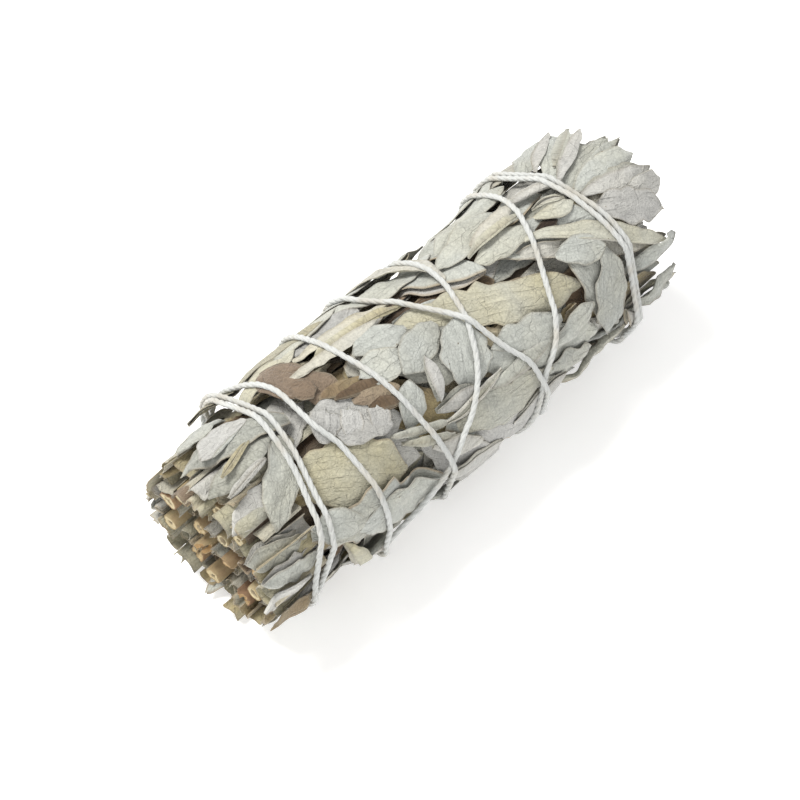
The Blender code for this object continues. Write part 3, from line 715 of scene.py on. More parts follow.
def half_width(leaf, share):
    """Half the leaf's width along its length, with a round tip and a narrow base."""
    steps = np.linspace(0, 1, 81)
    line = np.interp(steps, leaf["stations"], leaf["half"])
    kernel = np.hanning(15) / np.hanning(15).sum()
    line = np.convolve(np.pad(line, 7, "edge"), kernel, "valid")
    blunt = leaf.get("blunt", 0.16)
    round_tip = np.sqrt(np.clip(1 - np.clip((steps - 1 + blunt) / blunt, 0, 1) ** 2, 0.012, 1))
    return np.interp(share, steps, line * round_tip)


def blurred(grid, step):
    """A map smoothed over its neighbours a few steps away."""
    for axis in (0, 1):
        pad = [(step, step) if i == axis else (0, 0) for i in (0, 1)]
        wide = np.pad(grid, pad, "edge")
        size = grid.shape[axis]
        parts = [np.take(wide, range(start, start + size), axis) for start in (0, step, 2 * step)]
        grid = (parts[0] + 2 * parts[1] + parts[2]) / 4
    return grid


def resting_height(leaf, need, fine):
    """The radius at which a stiff leaf rests, over a patch of its own along and across."""
    reach = leaf["half"].max() + 1.5
    along = np.arange(-1.0, leaf["length"] + 1.01, PATCH_CELL)
    across = np.arange(-reach, reach + 0.01, PATCH_CELL)
    a, c = np.meshgrid(along, across, indexing="ij")
    lowest = need[fine.cells(*on_bundle(leaf, a, c))]
    inside = np.abs(c) <= half_width(leaf, a / leaf["length"]) + 0.25
    inside &= (a >= -0.1) & (a <= leaf["length"] + 0.1)
    held = np.where(inside, lowest, 0.0)
    height = np.where(inside, lowest, lowest[inside].mean())
    for _ in range(STIFF_ROUNDS):
        for step in (4, 2, 1):
            height = np.maximum(held, blurred(height, step))
    height = blurred(height, 1)
    return along, across, height


def sampled(along, across, grid, a, c):
    """Reads a patch between its points."""
    i = np.clip((a - along[0]) / PATCH_CELL, 0, len(along) - 1.001)
    j = np.clip((c - across[0]) / PATCH_CELL, 0, len(across) - 1.001)
    i0, j0 = i.astype(int), j.astype(int)
    fi, fj = i - i0, j - j0
    return (
        grid[i0, j0] * (1 - fi) * (1 - fj) + grid[i0 + 1, j0] * fi * (1 - fj)
        + grid[i0, j0 + 1] * (1 - fi) * fj + grid[i0 + 1, j0 + 1] * fi * fj
    )


print("leaves are", LEAF_THICKNESS, "mm thick and rest on the highest points below")

# %% [markdown]
# A leaf's section says how it dried across: flat, folded over on its midrib, rolled in from one
# margin, curled into a tube, or with a sharp keel. Its relief says how it dried along: waved
# margins, flat facets that meet in narrow ridges as in crumpled paper, and a crease or two.

# %% A leaf's section and relief


def soft_step(value):
    """0 to 1 with a soft start and end."""
    value = np.clip(value, 0, 1)
    return value * value * (3 - 2 * value)


def section(leaf, v, half):
    """The leaf's cross-section: how far across and how high each point of it lies."""
    form, hand = leaf["form"], leaf["hand"]
    if form == "folded":
        reach = 1 - 2 * np.sqrt(v * v + 0.0016) + 0.08
        reach = np.where(v > 0, reach * leaf["short"] + 1 - leaf["short"], reach)
        upper = soft_step((v + 0.07) / 0.14)
        high = upper * (0.45 + leaf["open"] * np.abs(v))
        return hand * half * reach, high
    if form == "rolled":
        start = leaf["roll_from"]
        radius = leaf["roll_radius"]
        turned = np.clip(v - start, 0, None) * half / radius
        radius = radius * (1 - 0.06 * turned)
        across = np.minimum(v, start) * half + np.where(v > start, radius * np.sin(turned), 0)
        return hand * across, np.where(v > start, radius * (1 - np.cos(turned)), 0.0)
    if form == "tube":
        turned = v * math.pi * leaf["turns"]
        slim = np.clip(half / leaf["half"].max() * 1.25, 0.35, 1)
        radius = leaf["roll_radius"] * (1 + 0.16 * v) * slim
        return hand * radius * np.sin(turned), radius * 0.72 * (1 - np.cos(turned))
    if form == "keeled":
        high = leaf["ridge"] * (1 - np.sqrt(v * v + 0.01)) * np.clip(half / 2.5, 0, 1)
        return half * v, high
    return half * v, np.zeros_like(v * half)


def uneven_margin(along, rng):
    """The share of a leaf's width that one margin reaches: straight stretches between corners."""
    corners = np.arange(-1.0, along[-1] + 3.0, rng.uniform(1.2, 2.6))
    return np.interp(along, corners, [1.05 - 0.34 * rng.random() ** 2 for _ in corners])


def leaf_relief(leaf, a, c, v, rng):
    """The arch, waves, tilt, facets and creases of a leaf, as a height above where it rests."""
    length, widest = leaf["length"], leaf["half"].max()
    share = a / length
    body = np.sin(math.pi * np.clip(share, 0, 1)) ** 0.5
    high = leaf["arch"] * (1 - v * v) * body
    high = high + leaf["flat"] * c * c / (2 * LEAF_RADIUS)
    high = high + leaf["tilt"] * (0.5 + leaf["hand"] * 0.5 * c / widest) * body
    for edge in (-1, 1):
        phase, wave_length = rng.uniform(0, 6.3), rng.uniform(3.5, 9)
        near = np.clip(edge * v, 0, 1) ** 2
        high = high + leaf["wave"] * near * (1 + np.sin(2 * math.pi * a / wave_length + phase)) / 2
    facets = (
        (rng.gauss(1.57, 0.25), rng.uniform(1.8, 3.2)),
        (rng.gauss(1.57, 0.6), rng.uniform(2.2, 5.0)),
        (rng.uniform(0, 6.3), rng.uniform(2.4, 6.0)),
    )
    for turn, size in facets:
        bend = 0.22 * np.sin((a * math.sin(turn) - c * math.cos(turn)) * rng.uniform(0.5, 1.3))
        place = (a * math.cos(turn) + c * math.sin(turn)) / size + bend + rng.random()
        high = high + leaf["crumple"] * size / 3.4 * np.abs(place % 1 - 0.5) * 2
    for _ in range(leaf["creases"]):
        middle = rng.uniform(0.3, 0.85) * length
        turn = rng.uniform(-0.9, 0.9) + (math.pi if rng.random() < 0.5 else 0)
        beyond = (a - middle) * math.cos(turn) + c * math.sin(turn)
        high = high + rng.uniform(0.06, 0.17) * np.sqrt(np.clip(beyond, 0, 7) ** 2 + 0.04)
    high = high + leaf["lift"] * np.clip((share - 0.6) / 0.4, 0, 1.1) ** 1.6
    return high


print("sections: plain, folded, rolled, tube and keeled")

# %% [markdown]
# A leaf becomes a grid of points: rows along it and columns across. Section, relief, a torn tip
# and a tip folded back are worked out on the flat leaf, and the grid is then laid on the
# bundle. The leaf's upper side raises the map, for the leaves that come after it.

# %% A leaf as a grid of points


def leaf_grid(leaf, need, fine, cell, rng):
    """A leaf's middle surface as rows and columns of points, with what the finish needs."""
    length = leaf["length"]
    rows = max(8, round(length / cell))
    columns = max(7, round(2.4 * leaf["half"].max() / (cell * 1.12)) | 1)
    if leaf["form"] in ("folded", "tube", "rolled"):
        columns = round(columns * 1.5) | 1
    share = np.linspace(0, 1, rows)
    share = share + 0.5 * leaf.get("blunt", 0.16) * np.sin(math.pi * share) * share ** 3
    share = share / share[-1]
    a = np.repeat((share * length)[:, None], columns, 1)
    v = np.repeat(np.linspace(-1, 1, columns)[None, :], rows, 0)
    if leaf["form"] == "folded":
        v = np.sign(v) * np.abs(v) ** 1.15
    half = half_width(leaf, share)[:, None]
    sides = [uneven_margin(length * share, rng)[:, None] for _ in range(2)]
    if leaf["form"] in ("plain", "keeled"):
        half = half * np.where(v < 0, sides[0], sides[1])
    else:
        half = half * sides[0]
    c, high = section(leaf, v, half)
    margin = (1 - np.abs(v)) * half
    flat_a, flat_c = a.copy(), v * half
    if leaf.get("torn"):
        bite = sum(np.sin(v * k + rng.uniform(0, 6)) / k for k in (3.1, 7.3, 13.7))
        a = a - leaf["torn"] * (0.5 + 0.5 * bite) * soft_step((share[:, None] - 0.7) / 0.3)
    open_form = leaf["form"] in ("plain", "keeled")
    high = high + leaf_relief(leaf, a, c, v if open_form else v * 0.4, rng)
    if leaf.get("tip_fold"):
        at, turn, spread = leaf["tip_fold"]
        beyond = (a - at * length) * math.cos(turn) + c * math.sin(turn)
        over = np.clip(beyond, 0, None)
        a = a - 2 * over * math.cos(turn)
        c = c - 2 * over * math.sin(turn)
        high = high + soft_step((beyond + 0.35) / 0.9) * (0.5 + spread * over)
    along, across, grid = resting_height(leaf, need, fine)
    radius = sampled(along, across, grid, a, c) + high
    radius = radius - leaf.get("dive", DEEPEST_DIVE) * (1 - soft_step(a / 3.2))
    x, angle = on_bundle(leaf, a, c)
    points = round_axis(x, angle, limited(radius, angle))
    return {"points": points, "high": float(np.percentile(radius, HIGH_PERCENT)), "margin": margin,
            "rib": np.abs(v) * half, "uv": np.stack([flat_a, flat_c], -1), "leaf": leaf}


def table_reach(angle):
    """How far from the axis the table is, less a leaf's thickness, in each direction."""
    down = -np.cos(angle)
    return np.where(down > 0.3, (AXIS[2] - TABLE_CLEAR) / np.clip(down, 0.3, 1), 99.0)


def limited(radius, angle):
    """Presses what stands too far out, and keeps the leaves off the table."""
    over = np.clip(radius - SOFT_LIMIT, 0, None)
    room = HARD_LIMIT - SOFT_LIMIT
    radius = np.where(over > 0, SOFT_LIMIT + room * np.tanh(over / room), radius)
    return np.minimum(radius, table_reach(angle))


def refined(points, times):
    """A grid of points with more points between them."""
    for axis in (0, 1):
        size = points.shape[axis]
        places = np.linspace(0, size - 1.000001, (size - 1) * times + 1)
        low = places.astype(int)
        share = (places - low).reshape([-1 if i == axis else 1 for i in range(3)])
        first = np.take(points, low, axis)
        second = np.take(points, np.minimum(low + 1, size - 1), axis)
        points = first * (1 - share) + second * share
    return points


def grid_normals(points):
    """Unit normals of a grid of points, away from the axis where the grid lies flat."""
    down = np.gradient(points, axis=0)
    over = np.gradient(points, axis=1)
    normal = np.cross(over, down)
    size = np.linalg.norm(normal, axis=-1, keepdims=True)
    return normal / np.maximum(size, 1e-9)


def lay_fine(leaf, fine, cell, rng, marked=False):
    """Drapes one leaf on the fine map, and covers the map with it. None if it would lie too high."""
    need = RadiusMap.widened(fine.radius) + LEAF_GAP + LEAF_THICKNESS / 2
    made = leaf_grid(leaf, need, fine, cell, rng)
    if made["high"] > HIGHEST_SCATTERED.get(leaf["role"], 99.0):
        return None
    top = made["points"] + grid_normals(made["points"]) * LEAF_THICKNESS / 2
    times = max(2, math.ceil(cell * 1.35 / 0.24))
    fine.cover(refined(top, times).reshape(-1, 3), leaf["own"], marked)
    return made


print("a leaf is pressed in from", SOFT_LIMIT, "mm out, to", HARD_LIMIT, "mm at most")

# %% [markdown]
# No two leaves dried alike. Some lie plain and gently waved, some are folded in half along the
# midrib, some have one margin rolled over, and some have curled into a tube or folded their tip
# back like paper. Each leaf draws its form here by its role. The leaves that stand out in the
# photograph are given their own forms and ages.

# %% The form and the age of each leaf
FORMS = {
    "bed": (("plain", 1),),
    "end": (("plain", 5), ("keeled", 1), ("folded", 3), ("rolled", 1)),
    "crossing": (("plain", 6), ("keeled", 1), ("folded", 4), ("rolled", 1)),
    "under": (("plain", 6), ("folded", 1)),
    "among": (("plain", 6), ("folded", 4)),
    "small": (("plain", 2), ("folded", 4), ("rolled", 2), ("tube", 3)),
}
CUT_FORMS = (("plain", 2), ("keeled", 1), ("folded", 3), ("rolled", 3), ("tube", 1))
SHOWN_LOOKS = (
    {"form": "plain", "age": 0.30, "tone": 0.8, "arch": 0.7, "tilt": 0.2, "flat": 0.2, "creases": 1,
     "wave": 0.3, "crumple": 0.10, "torn": 1.6, "margin": 0.3},
    {"form": "plain", "age": 0.36, "tone": 0.7, "arch": 0.3, "tilt": 0.3, "flat": 0.3, "creases": 0,
     "wave": 0.2, "crumple": 0.05, "margin": 0.5, "blunt": 0.34},
    {"form": "folded", "age": 0.78, "tone": 0.0, "crumple": 0.35},
    {"form": "keeled", "age": 0.05, "tone": 0.3, "side": 1.0},
    {"form": "folded", "age": 0.25, "tone": 0.5},
    {"form": "rolled", "age": 0.26, "tone": 0.5, "arch": 0.8},
    {"form": "plain", "age": 0.08, "tone": 0.5, "creases": 2, "arch": 0.5},
    {"form": "plain", "age": 0.12, "tone": 0.2, "creases": 1, "arch": 0.0, "tilt": 0.0,
     "crumple": 0.05},
    {"form": "plain", "age": 0.06, "tone": 0.6, "arch": 0.5, "creases": 1},
    {"form": "plain", "age": 0.08, "tone": 0.95, "arch": 0.5, "creases": 1},
    {"form": "plain", "age": 0.08, "tone": 0.6, "arch": 0.6, "creases": 1},
)


def drawn(choices, rng):
    names = [name for name, share in choices for _ in range(share)]
    return rng.choice(names)


def leaf_age(rng):
    """Mostly grey-green, some cream and a few brown."""
    pick = rng.random()
    if pick < 0.64:
        return rng.uniform(0.0, 0.20)
    if pick < 0.91:
        return rng.uniform(0.20, 0.42)
    return rng.uniform(0.45, 0.85)


def dressed(place, rng):
    """A leaf's place with its form, age and small differences added."""
    role = place["role"]
    leaf = {
        **place,
        "form": drawn(FORMS.get(role, FORMS["crossing"]), rng),
        "hand": rng.choice((-1, 1)),
        "short": rng.uniform(0.78, 0.97),
        "open": rng.uniform(0.0, 0.7),
        "roll_from": rng.uniform(0.1, 0.6),
        "roll_radius": rng.uniform(0.6, 1.1),
        "turns": rng.uniform(0.8, 1.25),
        "ridge": rng.uniform(0.6, 1.6),
        "arch": rng.uniform(0.0, 0.25),
        "flat": rng.uniform(0.0, 0.2),
        "tilt": rng.uniform(0.0, 0.35),
        "wave": rng.uniform(0.1, 0.75),
        "crumple": rng.uniform(0.06, 0.30),
        "creases": rng.choice((0, 1, 1, 2)),
        "lift": rng.uniform(0.0, 0.9),
        "bow": rng.uniform(-1.3, 1.3),
        "blunt": rng.uniform(0.12, 0.3),
        "age": leaf_age(rng),
        "tone": rng.random(),
        "margin": rng.random() ** 4,
        "side": 1.0 if rng.random() < 0.3 else 0.0,
    }
    if leaf["form"] == "plain" and role in ("crossing", "among", "end") and rng.random() < 0.3:
        leaf["tip_fold"] = (rng.uniform(0.62, 0.85), rng.uniform(-0.7, 0.7), rng.uniform(0.0, 0.25))
    if rng.random() < 0.3:
        leaf["torn"] = rng.uniform(0.4, 1.6)
    if role in ("bed", "under"):
        leaf.update(arch=0.0, tilt=0.05, wave=0.1, flat=0.0, open=0.1, lift=0.0, creases=0,
                    crumple=0.02)
    if role == "under" and rng.random() < 0.4:
        leaf["age"] = rng.uniform(0.5, 0.95)
    if role == "end":
        leaf.update(dive=0.6, lift=rng.uniform(-0.2, 0.5))
    if role == "end" and math.cos(place["turn"]) < 0:
        leaf.update(form=drawn(CUT_FORMS, rng), torn=rng.uniform(0.8, 2.4),
                    blunt=rng.uniform(0.3, 0.5))
    if role == "shown":
        leaf.update({"bow": 0.0, "lift": 0.1, "torn": 0.0, "side": 0.0, "tip_fold": None})
        leaf.update(SHOWN_LOOKS[place["number"]])
    if role == "detail":
        leaf.update({"bow": 0.0, "lift": 0.1, "torn": 0.3, "side": 0.0, "tilt": 0.6, "creases": 0,
                     "margin": 0.1})
    return leaf


print(len(FORMS), "roles draw their form")

# %% [markdown]
# The part has too few leaves to hide what lies between them, so more are scattered: wide ones,
# many of them brown, under the rest, others among them, and small curled ones last, wherever
# they hide little of the leaves that stand out in the photograph.

# %% Leaves between the part's own
UNDER_LEAVES, AMONG_LEAVES, SMALL_LEAVES = 60, 60, 150
SMALL_HIDES = 0.10


def placed(x, angle, tip_x, tip_angle, width, role, number, looks):
    """A leaf's place from its base, its tip and its width."""
    across = (tip_angle - angle) * LEAF_RADIUS
    return {
        "x": x, "angle": angle, "turn": math.atan2(across, tip_x - x),
        "length": math.hypot(across, tip_x - x),
        "own": int(round(math.degrees(angle) * OUTER_SPRIGS / 360)) % OUTER_SPRIGS,
        "stations": np.array(LEAF_STATIONS), "half": width / 2 * np.array(LEAF_WIDTHS),
        "role": role, "number": number, "looks": looks,
    }


def scattered(rng, count, role, lengths, widths, middle, spread):
    """Leaves all over the bundle, at any angle round it."""
    made = []
    for number in range(count):
        x = rng.uniform(-42, 38)
        angle = rng.uniform(0, 2 * math.pi)
        turn = math.radians(rng.gauss(middle, spread))
        if rng.random() < 0.22:
            turn += math.pi
        length = rng.uniform(*lengths)
        tip_x = x + length * math.cos(turn)
        x -= max(tip_x - 51, 0) + min(tip_x + 50, 0)
        tip_angle = angle + length * math.sin(turn) / LEAF_RADIUS
        tip_x = x + length * math.cos(turn)
        made.append(placed(x, angle, tip_x, tip_angle, rng.uniform(*widths), role, number, {}))
    return made


def hidden_share(leaf, fine):
    """How much of a leaf's place is over leaves that stand out in the photograph."""
    a = np.linspace(0, leaf["length"], 24)[:, None]
    c = np.linspace(-1, 1, 7)[None, :] * half_width(leaf, a / leaf["length"])
    x, angle = on_bundle(leaf, a, c)
    return fine.shown[fine.cells(x, angle)].mean()


def mixed(first, second, rng):
    """Two lists as one, each in its own order."""
    marks = [0] * len(first) + [1] * len(second)
    if second:
        rng.shuffle(marks)
    sources = (iter(first), iter(second))
    return [next(sources[mark]) for mark in marks]


print(UNDER_LEAVES + AMONG_LEAVES + SMALL_LEAVES, "more leaves to lay")

# %% [markdown]
# The leaves that make this bundle the one in the photograph were read from it one by one: a
# camera with the fitted angle turns a point of the photograph into a place on the bundle. Each
# row gives a base, a tip and a width, and how that leaf has dried. The first rows lie flush and
# fill the far side of the outline, and the last ones stand round the cut stems.

# %% Leaves read from the photograph
FLUSH = {"lift": 0.0, "tilt": 0.0, "wave": 0.1, "arch": 0.0, "crumple": 0.1}
PANEL = {"crumple": 0.08, "torn": 2.4, "blunt": 0.4, "side": 1.0}
BROKEN = {"crumple": 0.4, "torn": 1.0}
DETAIL_LEAVES = (
    # base x and angle, tip x and angle, width, form, age, tone, other looks
    (12.0, -46, 35.0, -60, 7.0, "plain", 0.06, 0.9, FLUSH),
    (15.0, -60, 37.0, -76, 7.4, "plain", 0.10, 0.8, FLUSH),
    (12.0, -33, 33.0, -44, 5.4, "keeled", 0.14, 0.8, FLUSH),
    (-4.0, -66, 17.0, -72, 7.4, "plain", 0.08, 0.8, FLUSH),
    (-26.0, -44, -6.0, -52, 6.4, "plain", 0.16, 0.9, FLUSH),
    (-28.0, -60, -7.0, -68, 7.4, "plain", 0.08, 0.8, FLUSH),
    (-34.0, -34, -19.0, -38, 6.0, "rolled", 0.30, 0.8, FLUSH),
    (-9.0, -46, 12.0, -36, 8.0, "plain", 0.10, 0.9, FLUSH),
    (-13.0, -70, 6.0, -60, 8.0, "plain", 0.05, 0.8, FLUSH),
    (27.0, -23, 8.5, -19, 6.2, "plain", 0.10, 0.8, {"arch": 0.2}),
    (8.5, -10, -3.0, -58, 5.0, "rolled", 0.25, 0.8, {"arch": 0.3, "bow": 4.0, "tilt": 0.0}),
    (14.0, -4, 26.0, 1, 4.8, "plain", 0.14, 0.9, {"arch": 0.5}),
    (-22.0, -29, -2.0, -21, 3.0, "folded", 0.36, 0.8, {}),
    (-20.5, -22, 0.0, -13, 2.6, "tube", 0.40, 0.8, {}),
    (-26.0, -18, -7.0, -12, 2.8, "folded", 0.30, 0.7, {}),
    (-27.5, -14, -23.5, -2, 4.6, "rolled", 0.84, 0.2, BROKEN),
    (-25.0, 2, -15.5, 13, 3.0, "folded", 0.76, 0.2, BROKEN),
    (-23.5, 8, -13.5, 18, 2.4, "folded", 0.92, 0.0, BROKEN),
    (-21.5, 15, -13.0, 24, 3.0, "rolled", 0.74, 0.2, BROKEN),
    (-20.0, 22, -15.0, 30, 2.6, "folded", 0.90, 0.0, {"crumple": 0.4}),
    (-4.5, 1, -15.5, -5, 5.2, "plain", 0.04, 0.7, {"torn": 0.8}),
    (-8.5, 12, -18.5, 8, 5.6, "plain", 0.02, 1.0, {"torn": 1.6, "blunt": 0.4, "wave": 0.9}),
    (0.0, 9, -11.5, 21, 6.0, "plain", 0.06, 0.55, {"arch": 0.9, "blunt": 0.3}),
    (-3.0, 50, 3.0, 14, 10.0, "plain", 0.0, 0.9,
     {"blunt": 0.5, "arch": 0.2, "creases": 2, "crumple": 0.16, "torn": 0.6}),
    (-8.5, 45, -6.5, 20, 2.8, "folded", 0.05, 0.9, {}),
    (-15.5, 47, -11.0, 24, 5.6, "keeled", 0.04, 0.85, {"blunt": 0.2, "crumple": 0.2}),
    (-9.5, 50, -1.5, 50, 4.0, "folded", 0.06, 0.7, {}),
    (-7.5, 67, 14.5, 77, 7.6, "plain", 0.20, 0.6, {"arch": 0.8, "flat": 0.1}),
    (19.5, 53, 4.0, 40, 5.6, "plain", 0.04, 0.8, {"blunt": 0.4, "creases": 1}),
    (-29.5, 21, -25.0, 6, 5.4, "plain", 0.02, 0.30, PANEL),
    (-25.5, 29, -22.0, 13, 4.6, "plain", 0.04, 0.70, PANEL),
    (-21.0, 37, -18.3, 21, 4.6, "plain", 0.03, 0.45, PANEL),
    (-20.0, 42, -8.0, 60, 2.8, "tube", 0.14, 0.8, {}),
    (-18.5, 50, -9.0, 66, 2.6, "tube", 0.20, 0.7, {}),
    (16.0, -14, 28.0, -17, 2.8, "folded", 0.26, 0.8, {}),
    (14.0, -9, 27.0, -8, 2.6, "tube", 0.24, 0.8, {}),
    (26.5, 5, 30.5, 10, 2.4, "plain", 1.0, -1.0, {"lift": 0.0}),
    (27.5, -19, 37.5, -10, 3.8, "tube", 0.14, 0.8, {}),
    (28.0, -1, 35.5, 7, 3.0, "rolled", 0.22, 0.8, {"bow": 1.0}),
    (29.5, -7, 34.5, 3, 2.6, "tube", 0.26, 0.9, {}),
    (36.0, -36, 47.5, -58, 7.0, "plain", 0.05, 0.6, {}),
    (36.5, -13, 50.0, -44, 7.6, "plain", 0.02, 1.0, {}),
    (37.0, -4, 51.5, -14, 7.2, "plain", 0.06, 0.6, {"blunt": 0.4}),
    (36.5, -26, 47.6, -49, 3.0, "folded", 0.10, 0.4, {"blunt": 0.3}),
    (37.0, -9, 49.6, -28, 3.2, "folded", 0.04, 0.5, {"blunt": 0.3}),
    (39.0, -17, 48.6, -35, 2.2, "tube", 0.14, 0.6, {}),
    (37.5, 1, 52.0, -5, 2.8, "folded", 0.12, 0.3, {}),
    (37.5, 3, 52.0, 6, 5.2, "keeled", 0.08, 0.8, {}),
    (37.5, 7, 52.0, 20, 4.6, "folded", 0.10, 0.7, {}),
    (43.5, 24, 53.0, 29, 5.4, "rolled", 0.12, 1.0, {}),
    (38.0, 18, 48.5, 42, 7.0, "plain", 0.02, 0.35, {"side": 1.0, "blunt": 0.3}),
    (23.5, 5, 46.8, 61, 4.8, "rolled", 0.26, 0.9,
     {"roll_radius": 1.1, "roll_from": 0.0, "hand": 1, "arch": 0.5, "blunt": 0.3, "crumple": 0.08}),
    (25.0, 25, 34.0, 37, 5.0, "plain", 0.03, 0.8, {}),
    (34.0, 38, 28.0, 88, 8.0, "plain", 0.04, 0.6,
     {"torn": 1.2, "blunt": 0.3, "creases": 2, "crumple": 0.2}),
    (38.0, 69, 50.5, 66, 5.4, "folded", 0.05, 0.5, {}),
    (38.5, 100, 49.5, 92, 4.6, "folded", 0.08, 0.5, {}),
    (13.0, 78, 26.0, 98, 6.0, "keeled", 0.06, 0.6, {}),
    (20.5, 60, 24.0, 54, 2.6, "folded", 0.66, 0.7, {}),
    (1.0, 58, 15.5, 58, 3.2, "folded", 0.10, 0.9, {}),
    (-9.5, 58, 4.0, 52, 2.6, "tube", 0.20, 0.9, {}),
    (-14.0, 62, -4.0, 82, 3.6, "folded", 0.16, 0.7, {}),
    (3.5, 92, 17.0, 86, 5.0, "folded", 0.10, 0.5, {}),
    (16.0, 66, 27.0, 60, 4.6, "keeled", 0.06, 0.9, {"crumple": 0.2}),
    (-33.0, 72, -14.0, 88, 7.0, "plain", 0.08, 0.8, {"crumple": 0.12}),
    (-12.0, 92, 1.0, 98, 4.6, "folded", 0.12, 0.6, {}),
    (-36.0, -18, -47.5, -13, 6.4, "rolled", 0.05, 0.6, {"torn": 1.4, "lift": 1.2}),
    (-36.5, -42, -47.5, -36, 7.0, "folded", 0.10, 0.5, {"torn": 1.0, "lift": 1.0}),
    (-39.0, 8, -48.5, 12, 5.4, "tube", 0.12, 0.5, {"torn": 0.6, "lift": 1.0}),
    (-38.0, -6, -47.0, 2, 2.8, "tube", 0.46, 0.5, {"lift": 0.6}),
    (-39.5, 20, -51.5, 28, 5.2, "folded", 0.10, 0.9, {"torn": 0.8, "lift": 1.0}),
    (-33.5, 2, -45.5, 44, 6.4, "plain", 0.12, 0.6, {"torn": 2.0, "flat": 0.1}),
    (-40.5, 60, -52.5, 46, 6.4, "folded", 0.16, 0.6, {"torn": 0.8, "lift": 0.8}),
    (-39.0, 76, -52.0, 62, 6.2, "folded", 0.06, 0.7, {"torn": 0.6, "lift": 0.6}),
    (-41.0, 92, -53.5, 84, 6.6, "folded", 0.12, 0.8, {"torn": 1.0, "lift": 1.4}),
    (-42.0, 108, -53.0, 104, 6.8, "keeled", 0.74, 0.3, {"torn": 1.0, "lift": 1.6}),
    (-31.5, 70, -40.5, 52, 6.4, "plain", 0.05, 0.8, {"blunt": 0.4}),
)


def detail_places():
    return [
        placed(x, math.radians(angle), tip_x, math.radians(tip), width, "detail", number,
               {"form": form, "age": age, "tone": tone, **more})
        for number, (x, angle, tip_x, tip, width, form, age, tone, more) in enumerate(DETAIL_LEAVES)
    ]


print(len(DETAIL_LEAVES), "leaves read from the photograph")

# %% [markdown]
# All the leaves are draped one after another, from the bed outwards, on a map with four times
# as many cells as the part's. Each covers the map, so the next one lies on top of it.

# %% Laying all the leaves
LAYING_SEED = 12
DEFAULT_CELL = 0.66
LEAF_CELLS = {"bed": 1.5, "under": 1.2, "shown": 0.42, "detail": 0.48}
MIDDLE_START, MIDDLE_END = -40, 36


def lay_all(places, fine):
    rng = random.Random(LAYING_SEED)
    grids = []
    under = scattered(rng, UNDER_LEAVES, "under", (13, 24), (6.0, 11.0), 12, 30)
    among = scattered(rng, AMONG_LEAVES, "among", (11, 22), (5.0, 10.0), 16, 34)
    small = scattered(rng, SMALL_LEAVES, "small", (8, 19), (2.4, 5.2), 14, 26)
    beds, ends, crossing, shown = (
        [place for place in places if place["role"] == role]
        for role in ("bed", "end", "crossing", "shown")
    )
    order = beds + under + mixed(ends + crossing, among, rng)
    order += mixed(shown + detail_places(), [], rng) + small
    for item in order:
        leaf = dressed(item, rng)
        leaf.update(item.get("looks", {}))
        if item["role"] == "small" and hidden_share(leaf, fine) > SMALL_HIDES:
            continue
        cell = LEAF_CELLS.get(item["role"], DEFAULT_CELL)
        grids.append(lay_fine(leaf, fine, cell, rng, item["role"] in ("shown", "detail")))
    return [grid for grid in grids if grid]


fine_map = RadiusMap(0.25, 1.0)
leaf_grids = lay_all(places, fine_map)
mean_radii = [
    round(float(laid.radius[(laid.x > MIDDLE_START) & (laid.x < MIDDLE_END)].mean()), 2)
    for laid in (fine_map, coarse_map)
]
print(len(leaf_grids), "leaves draped, mean radius", mean_radii[0], "and in the frame", mean_radii[1])

# %% [markdown]
# One length of cotton string binds the whole bundle, with nine turns between its two ends. The
# route is the part's own: a winding angle that only falls, and a place along the bundle. Here it
# is laid on the fine leaves. A taut string bridges each hollow in a straight chord, so the line
# is raised to its own chords until nothing changes, lifted where it crosses an earlier turn, and
# kept straight beneath, where the bundle's weight presses every turn flat on the table.

# %% The string's line
STRING_RADIUS = 0.56
STRING_PRESS = 0.30
TABLE_TOUCH = 0.5
REST_SPREAD = 15.0
ROUTE = (
    (218, -41.6), (180, -43.5), (150, -44.2), (113, -43.8), (95, -43.2), (71, -41.1), (55, -39.6),
    (39, -38.1), (23, -36.6), (4, -35.6), (-19, -34.7), (-51, -34.4), (-160, -31.2), (-240, -28.0),
    (-255, -26.7), (-262, -23.5), (-268, -19), (-275, -14.5), (-284, -11.3), (-292, -8.5),
    (-299, -5.5), (-306, -3.3), (-315, -0.5), (-324, 1.4), (-333, 2.7), (-350, 5.3), (-370, 7.2),
    (-393, 7.6), (-422, 6.8), (-540, 6.2), (-620, 8.5), (-645, 11.1), (-655, 14.2), (-665, 16.6),
    (-687, 20.3), (-708, 23.5), (-731, 26.5), (-755, 28.4), (-782, 28.8), (-830, 29.5), (-900, 33.6),
    (-980, 38.3), (-1026, 37.9), (-1049, 37.6), (-1078, 36.6), (-1110, 35.5), (-1137, 34.9),
    (-1200, 35.4), (-1260, 36.2), (-1340, 36.7), (-1386, 36.8), (-1409, 36.3), (-1438, 35.1),
    (-1470, 34.1), (-1497, 33.5), (-1560, 30.4), (-1620, 24.5), (-1696, 11.3), (-1716, 10.5),
    (-1738, 9.4), (-1757, 6.3), (-1783, 3.0), (-1805, -0.3), (-1827, -3.1), (-1850, -4.5),
    (-1980, -9), (-2056, -12.6), (-2083, -12.5), (-2111, -13.8), (-2143, -15.4), (-2185, -17),
    (-2214, -16.8), (-2340, -22), (-2416, -27.9), (-2434, -27.2), (-2491, -27.7), (-2511, -29.2),
    (-2535, -28.9), (-2571, -30.5), (-2670, -36), (-2767, -41.6), (-2801, -39.5), (-2823, -37.7),
    (-2838, -36.7), (-2850, -35.7), (-2868, -34.3), (-2893, -33.3), (-2927, -33.1), (-2970, -34),
    (-3018, -39.4),
)
KNOT_ANGLE, KNOT_X = 220.0, -40.4


